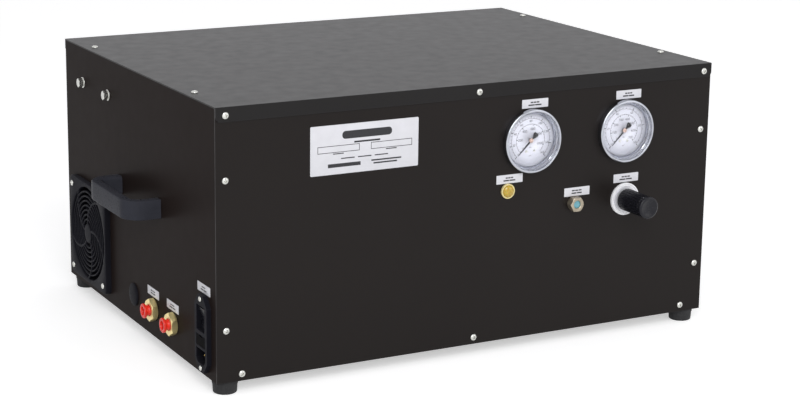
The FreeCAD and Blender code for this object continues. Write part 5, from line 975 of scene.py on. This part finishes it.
class DRYER_OT_side_fasteners(DryerOperator, bpy.types.Operator):
    """Hex bolts of the inner bracket and the domed plug of the spare hole"""

    bl_idname = "dryer.side_fasteners"
    bl_label = "Bolts and hole plug"

    def execute(self, context):
        self.bolts()
        self.plug()
        return {"FINISHED"}

    @staticmethod
    def bolts():
        across, head, washer_high, thread_radius, long = 10 * MM, 6.8 * MM, 1.2 * MM, 3 * MM, 12 * MM
        washer = rounded([(3.2 * MM, 0), (6.6 * MM, 0, 0.3 * MM), (6.6 * MM, washer_high, 0.5 * MM),
                          (3.2 * MM, washer_high)], True, 3)
        body = [(0, -long), (2.4 * MM, -long)]
        body += reversed(thread(thread_radius, 0.4 * MM - long, 0, 1 * MM, 0.35 * MM))
        body += [(thread_radius, washer_high), (0, washer_high)]
        shape = Shape()
        for spot in spots("bracket_bolts", head):
            shape.lathe(washer, spot, steps=48, cycle=True)
            hexagon_piece(shape, across, washer_high, head, 0, spot, both=False)
            shape.lathe(body, spot, steps=28)
        stand_in("bracket_bolts", shape, "screw_steel")

    @staticmethod
    def plug():
        """Domed cap, and behind the panel its neck with a snap ring."""
        low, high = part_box("hole_plug")
        radius, dome_high, rim, steps = (high.z - low.z) / 2, 3.6 * MM, 0.3, 10
        deep = high.x - low.x - dome_high
        dome = [(radius * math.cos(a), dome_high * (rim + (1 - rim) * math.sin(a)))
                for a in (math.pi / 2 * k / steps for k in range(steps))]
        neck, snap, end = 9.8 * MM, 10.3 * MM, 0.2 * MM - deep
        profile = [(0, end), (7.6 * MM, end), (8.4 * MM, 1 * MM - deep), (snap, -3.2 * MM),
                   (neck, -1.5 * MM), (neck, 0), (radius - 0.4 * MM, 0), (radius, 0.4 * MM)]
        cap = Shape()
        cap.lathe(profile + dome + [(0, dome_high)], side_spot(low, high, low.x + dome_high), steps=72)
        stand_in("hole_plug", cap, "fan_plastic", slot="black_plastic")


class DRYER_OT_air_ports(DryerOperator, bpy.types.Operator):
    """Brass bulkhead fittings, their locknuts and the red transit plugs"""

    bl_idname = "dryer.air_ports"
    bl_label = "Air ports"

    def execute(self, context):
        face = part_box("side_panel_left")[0].x
        thread_radius, bore, chamfer = 10.4 * MM, 6.8 * MM, 0.8 * MM
        brass, nuts, plugs = Shape(), Shape(), Shape()
        for low, high in solids("bulkhead_fittings"):
            hex_high, inside, across = face - low.x, high.x - face, high.y - low.y
            outer = hexagon_profile(across, 0, hex_high, bore)[1:-1]
            profile = [(bore, -inside), (bore, hex_high - 0.7 * MM), (bore + chamfer, hex_high)]
            profile += list(reversed(outer)) + [(thread_radius, 0)]
            profile += thread(thread_radius, -inside, -1.2 * MM, 1.4 * MM, 0.6 * MM)
            brass.lathe(profile, side_spot(low, high, face), steps=72, cycle=True,
                        swell=hexagon_swell(across))
        for low, high in solids("bulkhead_locknuts"):
            hexagon_piece(nuts, high.y - low.y, 0, high.x - low.x, thread_radius + 0.02 * MM,
                          side_spot(low, high, high.x))
        for low, high in solids("port_plugs"):
            end, start, flange = face - low.x, face - high.x, (high.z - low.z) / 2
            waist, waist_end = 5.9 * MM, 11 * MM
            profile = rounded([(0, start), (6.0 * MM, start, 0.8 * MM), (6.4 * MM, 7.4 * MM, 0.4 * MM),
                               (waist, 8.4 * MM), (waist, waist_end, 0.5 * MM),
                               (flange, waist_end + 0.5 * MM, 1.0 * MM), (flange, end, 1.1 * MM),
                               (5.2 * MM, end, 0.5 * MM), (4.6 * MM, end - 1.4 * MM),
                               (4.3 * MM, start + 2.4 * MM, 0.8 * MM), (0, start + 2 * MM)], steps=4)
            plugs.lathe(profile, side_spot(low, high, face), steps=56)
        stand_in("bulkhead_fittings", brass, "brass")
        stand_in("bulkhead_locknuts", nuts, "brass")
        stand_in("port_plugs", plugs, "red_plastic", sharp=50)
        return {"FINISHED"}


class DRYER_OT_power_inlet(DryerOperator, bpy.types.Operator):
    """Inlet housing with its rocker, fuse drawer, contacts and screws"""

    bl_idname = "dryer.power_inlet"
    bl_label = "Power inlet"

    def execute(self, context):
        edge = sizes().moulded_edge
        dress("inlet_housing", "inlet_plastic", edge)
        dress("rocker_switch", "switch_plastic", edge)
        dress("fuse_drawer", "drawer_plastic_painted_shade", edge * 0.6)
        dress("fuses", "fuse_glass", sizes().fine_edge)
        pins = Shape()
        for low, high in solids("inlet_pins"):
            wide, tall, long = (high.y - low.y) / 2, (high.z - low.z) / 2, high.x - low.x
            rows = []
            for height, share in ((0, 1), (long - 2.2 * MM, 1), (long - 0.8 * MM, 0.86), (long, 0.55)):
                x, y = wide * share, tall * share
                rows.append([(*point, height) for point in box_outline(-x, -y, x, y, 0.3 * MM, 2)])
            pins.skin(rows, side_spot(low, high, high.x))
        stand_in("inlet_pins", pins, "pin_gold")
        dress_screws("inlet_screws", head=1.8 * MM, shank=1.5 * MM, long=13.8 * MM,
                     pitch=0.6 * MM, first_turn=25, turn=50)
        return {"FINISHED"}


class DRYER_OT_gauges(DryerOperator, bpy.types.Operator):
    """Two pressure gauges: cases, bezels, glass, printed dials and pointers"""

    bl_idname = "dryer.gauges"
    bl_label = "Gauges"

    def execute(self, context):
        bezels, lenses, centres = Shape(), Shape(), []
        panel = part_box("front_panel")[0].y
        bore, glass_thick = 30.2 * MM, 0.7 * MM
        for low, high in solids("gauge_bezels"):
            spot = front_spot(low, high)
            centres.append(spot)
            radius, reach = (high.x - low.x) / 2, panel - low.y
            lip, glass = radius - 2.5 * MM, reach - 2.2 * MM
            profile = rounded([(bore, 0), (radius, 0, 0.4 * MM), (radius, reach, 1.5 * MM),
                               (lip, reach, 0.5 * MM), (lip - 0.5 * MM, glass + 0.8 * MM),
                               (lip - 0.5 * MM, glass), (lip - 0.9 * MM, glass, 0.2 * MM),
                               (lip - 1.2 * MM, glass - 1.4 * MM, 0.6 * MM),
                               (lip - 2.0 * MM, glass - 2.2 * MM, 0.6 * MM),
                               (bore + 0.2 * MM, 0.8 * MM)], True, 6)
            bezels.lathe(profile, spot, steps=120, cycle=True)
            lens = lip - 0.6 * MM
            lenses.lathe([(0, glass), (lens, glass), (lens, glass + glass_thick), (0, glass + 0.8 * MM)],
                         spot, steps=96)
        stand_in("gauge_bezels", bezels, "bezel_chrome")
        stand_in("gauge_lenses", lenses, "clear_glass")
        dress("gauge_cases", "steel_case", sizes().fine_edge)
        dress("gauge_dials", "dial_white")
        dress("gauge_movements", "brass", sizes().fine_edge)
        dial_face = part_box("gauge_dials")[0].y
        for number, (spot, scales) in enumerate(zip(centres, self.SCALES), 1):
            on_dial = spot.copy()
            on_dial.translation.y = dial_face
            self.scale(number, on_dial, scales)
            self.pointer(number, spot)
        return {"FINISHED"}

    # Full scale, labelled step and small step: the outer scale in psi, then the inner one in kPa.
    SCALES = (((160, 20, 5), (1100, 200, 50)), ((100, 20, 4), (700, 100, 25)))
    # Radius of each scale's line, length of its long ticks, and radius and height of its numerals.
    LAYOUT = ((25.0 * MM, 2.8 * MM, 22.0 * MM, 3.8 * MM), (18.6 * MM, -2.0 * MM, 13.2 * MM, 4.3 * MM))

    @staticmethod
    def direction(share):
        """Angle on the dial at a share of the full scale, from lower left, clockwise."""
        return math.radians(225 - 270 * share)

    def scale(self, number, spot, scales):
        """Printed scales and units of one dial, and its two small studs."""
        shape, ink = Shape(), sizes().print_height

        def tick(share, start, end, wide):
            turned = spot @ Matrix.Rotation(self.direction(share), 4, "Z")
            shape.prism(box_outline(start, -wide / 2, end, wide / 2), -PRINT_SINK, ink, turned)

        def line(radius, wide, steps=96):
            rows = []
            for k in range(steps + 1):
                angle = self.direction(k / steps)
                c, s = math.cos(angle), math.sin(angle)
                a, b = radius - wide / 2, radius + wide / 2
                rows.append([(a * c, a * s, 0), (b * c, b * s, 0), (b * c, b * s, ink), (a * c, a * s, ink)])
            shape.skin(rows, spot)

        for (full, major, minor), (base, long, text, size) in zip(scales, self.LAYOUT):
            line(base, 0.34 * MM)
            for k in range(full // minor + 1):
                labelled = k * minor % major == 0
                reach, wide = (long, 0.8 * MM) if labelled else (long * 0.55, 0.42 * MM)
                tick(k * minor / full, base, base + reach, wide)
            for k in range(full // major + 1):
                angle = self.direction(k * major / full)
                at = (text * math.cos(angle), text * math.sin(angle))
                self.letter(shape, str(k * major), at, size, spot)
        self.letter(shape, "psi", (0, -17.6 * MM), 2.6 * MM, spot)
        self.letter(shape, "kPa", (0, -8.2 * MM), 2.3 * MM, spot)
        aside, below = 5.2 * MM, 12.4 * MM
        studs = Shape()
        for x in (-aside, aside):
            studs.lathe([(0, 0), (1.6 * MM, 0), (1.5 * MM, 0.35 * MM), (0, 0.55 * MM)],
                        spot @ Matrix.Translation((x, -below, 0)), steps=28)
        piece(f"gauge_studs_{number}", studs, "screw_steel")
        piece(f"gauge_scale_{number}", shape, "ink", slot="dial_white")

    @staticmethod
    def letter(shape, words, at, size, spot):
        """Adds printed numerals, centred on a point of the dial."""
        curve = bpy.data.curves.new("numeral", "FONT")
        curve.body, curve.size = words, size
        curve.align_x, curve.align_y = "CENTER", "CENTER"
        curve.extrude, curve.resolution_u = sizes().print_height / 2, 3
        made = bpy.data.objects.new("numeral", curve)
        bpy.context.scene.collection.objects.link(made)
        bpy.context.view_layer.update()
        mesh = bpy.data.meshes.new_from_object(made.evaluated_get(bpy.context.evaluated_depsgraph_get()))
        shape.stamp(mesh, spot @ Matrix.Translation((at[0], at[1], sizes().print_height / 2)))
        bpy.data.objects.remove(made)
        bpy.data.curves.remove(curve)
        bpy.data.meshes.remove(mesh)

    def pointer(self, number, spot):
        """Needle with a broad tail, its spindle and its hub."""
        body = f"gauge_pointer_{number}"
        turned = spot @ Matrix.Rotation(self.direction(0), 4, "Z")
        outline = [(23.4, 0.2), (3.4, 1.0), (-2.6, 0.8), (-4.2, 1.3), (-7.6, 3.1), (-9.8, 3.3), (-10.6, 2.2)]
        outline = [(x * MM, y * MM) for x, y in outline] + [(x * MM, -y * MM) for x, y in reversed(outline)]
        needle = Shape()
        needle.prism(list(reversed(outline)), 1.0 * MM, 1.5 * MM, turned, 0.12 * MM, 2)
        spindle, back, front = 0.9 * MM, -9 * MM, 1.1 * MM
        needle.lathe([(0, back), (spindle, back), (spindle, front), (0, front)], spot, steps=20)
        piece(f"gauge_needle_{number}", needle, "pointer_black", body, stands_for=[body])
        hub = Shape()
        hub.lathe(rounded([(0, 0.9 * MM), (2.6 * MM, 0.9 * MM, 0.2 * MM), (2.6 * MM, 1.9 * MM, 0.4 * MM),
                           (0.8 * MM, 2.1 * MM), (0.7 * MM, 2.4 * MM), (0, 2.45 * MM)], steps=4),
                  spot, steps=36)
        piece(f"gauge_hub_{number}", hub, "pointer_hub", body, slot="pointer_black")


class DRYER_OT_front_fittings(DryerOperator, bpy.types.Operator):
    """Power lamp and moisture indicator on the front panel"""

    bl_idname = "dryer.front_fittings"
    bl_label = "Lamp and indicator"

    def execute(self, context):
        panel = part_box("front_panel")[0].y
        dress("pilot_body", "lamp_rim", sizes().fine_edge)
        low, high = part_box("pilot_lens")
        radius, start, end = (high.x - low.x) / 2, panel - high.y, panel - low.y
        rim, steps = 1.0 * MM, 12
        dome = [(0, start), (radius, start), (radius, start + rim)]
        for k in range(1, steps):
            angle = math.pi / 2 * k / steps
            height = start + rim + (end - start - rim) * math.sin(angle)
            # Every other step sits a little lower, which gives the lens its fine rings.
            dome.append((radius * math.cos(angle), height - (0.10 * MM if k % 2 else 0.0)))
        lens = Shape()
        lens.lathe(dome + [(0, end)], front_spot(low, high), steps=60)
        stand_in("pilot_lens", lens, "amber_lens", sharp=60)

        low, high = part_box("moisture_body")
        spot = front_spot(low, high) @ Matrix.Rotation(math.radians(30), 4, "Z")
        across, reach, deep = high.z - low.z, panel - low.y, high.y - panel
        bore, floor = 4.4 * MM, reach - 3 * MM
        body = Shape()
        outer = hexagon_profile(across, 0, reach, bore)[1:-1]
        profile = [(0, -deep), (6.2 * MM, -deep)]
        profile += reversed(thread(7 * MM, 1 * MM - deep, -1 * MM, 1 * MM, 0.4 * MM))
        profile += [(7 * MM, 0)] + outer
        profile += [(bore + 0.9 * MM, reach), (bore, reach - 0.9 * MM), (bore, floor), (0, floor)]
        body.lathe(profile, spot, steps=72, swell=hexagon_swell(across))
        stand_in("moisture_body", body, "plated_brass")
        low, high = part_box("moisture_window")
        start, end, radius = panel - high.y, panel - low.y, (high.x - low.x) / 2
        window = Shape()
        window.lathe(rounded([(0, start), (radius, start), (radius, end - 0.3 * MM, 0.2 * MM),
                              (radius * 0.8, end, 0.4 * MM), (0, end)], steps=4), spot, steps=48)
        stand_in("moisture_window", window, "indicator_blue")
        return {"FINISHED"}


class DRYER_OT_regulator(DryerOperator, bpy.types.Operator):
    """Pressure regulator with its panel nut, adjusting screw, spring and fluted knob"""

    bl_idname = "dryer.regulator"
    bl_label = "Regulator"

    def execute(self, context):
        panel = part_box("front_panel")[0].y
        dress("regulator_body", "regulator_metal", sizes().moulded_edge)
        dress("regulator_bonnet", "regulator_metal", sizes().fine_edge)
        dress("regulator_spring", "screw_steel")
        dress("regulator_stem", "screw_steel", sizes().fine_edge)
        low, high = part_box("regulator_panel_nut")
        radius, thick = (high.x - low.x) / 2, panel - low.y

        def knurl(angle, r, height):
            """Radius with the nut's 36 grip waves pressed into its rim."""
            return r - (0.35 * MM * (0.5 + 0.5 * math.cos(36 * angle)) if r > radius - 0.1 * MM else 0)

        ring = Shape()
        profile = rounded([(15.3 * MM, 0), (radius, 0, 0.3 * MM), (radius, thick, 0.8 * MM),
                           (17.2 * MM, thick, 0.3 * MM), (16.6 * MM, thick - 0.7 * MM, 0.3 * MM),
                           (15.3 * MM, thick - 0.7 * MM)], True, 4)
        ring.lathe(profile, front_spot(low, high), steps=216, cycle=True, swell=knurl)
        stand_in("regulator_panel_nut", ring, "panel_ring", slot="regulator_metal")

        low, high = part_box("regulator_knob")
        base, start, reach = (high.x - low.x) / 2, panel - high.y, panel - low.y
        flutes, flute, collar = sizes().knob_flutes, 1.05 * MM, reach - 6.5 * MM

        def fluted(angle, r, height):
            """Radius with the finger grooves pressed in, fading out towards the collar."""
            if r < base - 1.2 * MM or not start + 0.2 * MM < height < collar + 0.4 * MM:
                return r
            fade = min(1.0, (collar + 0.4 * MM - height) / (1.6 * MM))
            aside = ((angle * flutes / (2 * math.pi) + 0.5) % 1 - 0.5) * 2 * math.pi / flutes * base
            deep = math.sqrt(max(flute * flute - aside * aside, 0))
            return r - deep * max(0.0, fade)

        bore, hollow, steps = 4.2 * MM, reach - 5.5 * MM, 8
        profile = [(0, hollow), (bore, hollow), (bore, start)]
        profile += [(base - 0.5 * MM, start), (base, start + 0.5 * MM)]
        profile += [(base - 0.45 * MM * k / steps, start + 0.5 * MM + (collar - start - 1.5 * MM) * k / steps)
                    for k in range(1, steps + 1)]
        profile += [(base - 0.5 * MM, collar - 0.4 * MM), (base - 0.5 * MM, collar + 0.2 * MM),
                    (base - 0.1 * MM, collar + 0.7 * MM), (base - 0.15 * MM, reach - 1.6 * MM),
                    (base - 0.7 * MM, reach - 0.5 * MM), (base - 1.9 * MM, reach), (base - 3.4 * MM, reach),
                    (base - 4.0 * MM, reach - 0.5 * MM), (0, reach - 0.8 * MM)]
        knob = Shape()
        knob.lathe(profile, front_spot(low, high), steps=384, swell=fluted)
        stand_in("regulator_knob", knob, "knob_plastic", "regulator_knob", slot="black_plastic", sharp=45)
        return {"FINISHED"}


class DRYER_OT_internals(DryerOperator, bpy.types.Operator):
    """Refrigeration circuit, air path, controls and inner fasteners"""

    bl_idname = "dryer.internals"
    bl_label = "Internals"

    def execute(self, context):
        edge, fine = sizes().moulded_edge, sizes().fine_edge
        for node, name, soft in (
                ("air_tubes", "air_tube", 0), ("refrigerant_pipes", "copper", 0),
                ("condenser_coil", "coil_metal", 0),
                ("compressor_shell", "compressor_black", 0), ("compressor_grommets", "black_rubber", 0),
                ("terminal_cover", "black_plastic", edge), ("control_box", "inner_steel", edge),
                ("control_bracket", "inner_steel", fine), ("drain_valve", "brass", fine),
                ("exchanger_core", "coil_metal", edge), ("exchanger_jacket", "foam_black", edge * 2),
                ("exchanger_stand", "inner_steel", fine), ("filter_drier", "copper", fine),
                ("inner_fasteners", "screw_steel", 0), ("separator_bowl", "separator_plastic", fine)):
            dress(node, name, soft)
        return {"FINISHED"}


# ---------------------------------------------------------------- stage


# Name, place, width and height in metres, and power in watts of each lamp.
LAMPS = (("key", (-1.05, -2.9, 2.4), (2.2, 1.6), 51),
         ("fill", (2.4, -2.8, 1.4), (2.0, 2.0), 14),
         ("front", (-1.0, -2.3, 1.0), (0.7, 0.7), 9))
LAMP_TARGET = (0, 0, 0.15)
CAMERA_PLACE, CAMERA_ANGLES = (-1.0821, -2.0195, 0.7146), (77.0897, -0.4207, -26.8961)
CAMERA_SHIFT, SENSOR_WIDTH = (0.0655, -0.0556), 36.0


def backdrop_ray(tree):
    """1 for the rays that see, mirror or look through to the backdrop, and 0 for the rest."""
    path = tree.nodes.new("ShaderNodeLightPath")
    total = path.outputs["Is Camera Ray"]
    for kind in ("Is Glossy Ray", "Is Transmission Ray"):
        either = tree.nodes.new("ShaderNodeMath")
        either.operation = "MAXIMUM"
        tree.links.new(total, either.inputs[0])
        tree.links.new(path.outputs[kind], either.inputs[1])
        total = either.outputs["Value"]
    return total


class DRYER_OT_stage(DryerOperator, bpy.types.Operator):
    """Pale floor, studio lamps, world and camera"""

    bl_idname = "dryer.stage"
    bl_label = "Stage"

    def execute(self, context):
        scene = context.scene
        scene.view_settings.view_transform = "Standard"
        self.floor()
        self.world(scene)
        for lamp in LAMPS:
            self.lamp(*lamp)
        self.camera(scene)
        return {"FINISHED"}

    @staticmethod
    def floor():
        side = 30.0
        shape = Shape()
        shape.skin([[(-side, -side, 0), (side, -side, 0)], [(-side, side, 0), (side, side, 0)]],
                   loop=False, ends=False)
        mesh = shape.to_mesh("studio_floor")
        surface = Finish("studio_floor", colours().floor, Roughness=0.9)
        surface.mottle(0.8, 0.985, 1.0)
        tree = surface.tree
        glow, add = (surface.node(kind) for kind in ("ShaderNodeEmission", "ShaderNodeAddShader"))
        level = surface.node("ShaderNodeMath", operation="MULTIPLY")
        level.inputs[1].default_value = 0.5
        surface.link(backdrop_ray(tree), level.inputs[0])
        surface.link(level.outputs["Value"], glow.inputs["Strength"])
        surface.link(surface.shader.outputs["BSDF"], add.inputs[0])
        surface.link(glow.outputs["Emission"], add.inputs[1])
        surface.link(add.outputs["Shader"], tree.nodes["Material Output"].inputs["Surface"])
        mesh.materials.append(surface.material)
        made = bpy.data.objects.new("studio_floor", mesh)
        bpy.context.scene.collection.objects.link(made)

    @staticmethod
    def world(scene):
        """Even studio surroundings, white where they are seen or mirrored."""
        world = bpy.data.worlds.new("studio")
        scene.world = world
        world.use_nodes = True
        tree = world.node_tree
        nodes, link = tree.nodes, tree.links.new
        background = nodes["Background"]
        mix = nodes.new("ShaderNodeMix")
        link(backdrop_ray(tree), mix.inputs["Factor"])
        mix.inputs["A"].default_value = 0.5
        mix.inputs["B"].default_value = 1.0
        link(mix.outputs["Result"], background.inputs["Strength"])
        background.inputs["Color"].default_value = (0.98, 0.98, 1.0, 1.0)

    @staticmethod
    def lamp(name, place, size, power):
        data = bpy.data.lights.new(name, "AREA")
        data.shape, data.size, data.size_y, data.energy = "RECTANGLE", size[0], size[1], power
        made = bpy.data.objects.new(name, data)
        made.location = place
        made.rotation_mode = "QUATERNION"
        made.rotation_quaternion = (Vector(LAMP_TARGET) - Vector(place)).to_track_quat("-Z", "Y")
        bpy.context.scene.collection.objects.link(made)

    @staticmethod
    def camera(scene):
        data = bpy.data.cameras.new("camera")
        data.lens, data.sensor_width = sizes().lens, SENSOR_WIDTH
        data.shift_x, data.shift_y = CAMERA_SHIFT
        data.clip_start, data.clip_end = 0.05, 100.0
        made = bpy.data.objects.new("camera", data)
        made.location = CAMERA_PLACE
        made.rotation_euler = [math.radians(angle) for angle in CAMERA_ANGLES]
        scene.collection.objects.link(made)
        scene.camera = made


OPERATORS = (
    DRYER_OT_casing,
    DRYER_OT_casing_screws,
    DRYER_OT_feet,
    DRYER_OT_handles,
    DRYER_OT_plates,
    DRYER_OT_fan,
    DRYER_OT_side_fasteners,
    DRYER_OT_air_ports,
    DRYER_OT_power_inlet,
    DRYER_OT_gauges,
    DRYER_OT_front_fittings,
    DRYER_OT_regulator,
    DRYER_OT_internals,
    DRYER_OT_stage,
)


class DRYER_PT_pieces(bpy.types.Panel):
    """Pieces of the air dryer in the sidebar"""

    bl_idname = "DRYER_PT_pieces"
    bl_label = "Refrigerated air dryer"
    bl_space_type = "VIEW_3D"
    bl_region_type = "UI"
    bl_category = "Air dryer"

    def draw(self, context):
        layout = self.layout
        for group in (context.scene.dryer_sizes, context.scene.dryer_colours):
            column = layout.column(align=True)
            for name in group.__annotations__:
                column.prop(group, name)
        column = layout.column()
        for operator in OPERATORS:
            column.operator(operator.bl_idname)


CLASSES = (DryerSizes, DryerColours, *OPERATORS, DRYER_PT_pieces)


def register():
    for made in CLASSES:
        bpy.utils.register_class(made)
    bpy.types.Scene.dryer_sizes = PointerProperty(type=DryerSizes)
    bpy.types.Scene.dryer_colours = PointerProperty(type=DryerColours)


def unregister():
    del bpy.types.Scene.dryer_colours
    del bpy.types.Scene.dryer_sizes
    for made in reversed(CLASSES):
        bpy.utils.unregister_class(made)


def main():
    register()
    for operator in OPERATORS:
        group, name = operator.bl_idname.split(".")
        getattr(getattr(bpy.ops, group), name)()


if __name__ == "__main__":
    main()
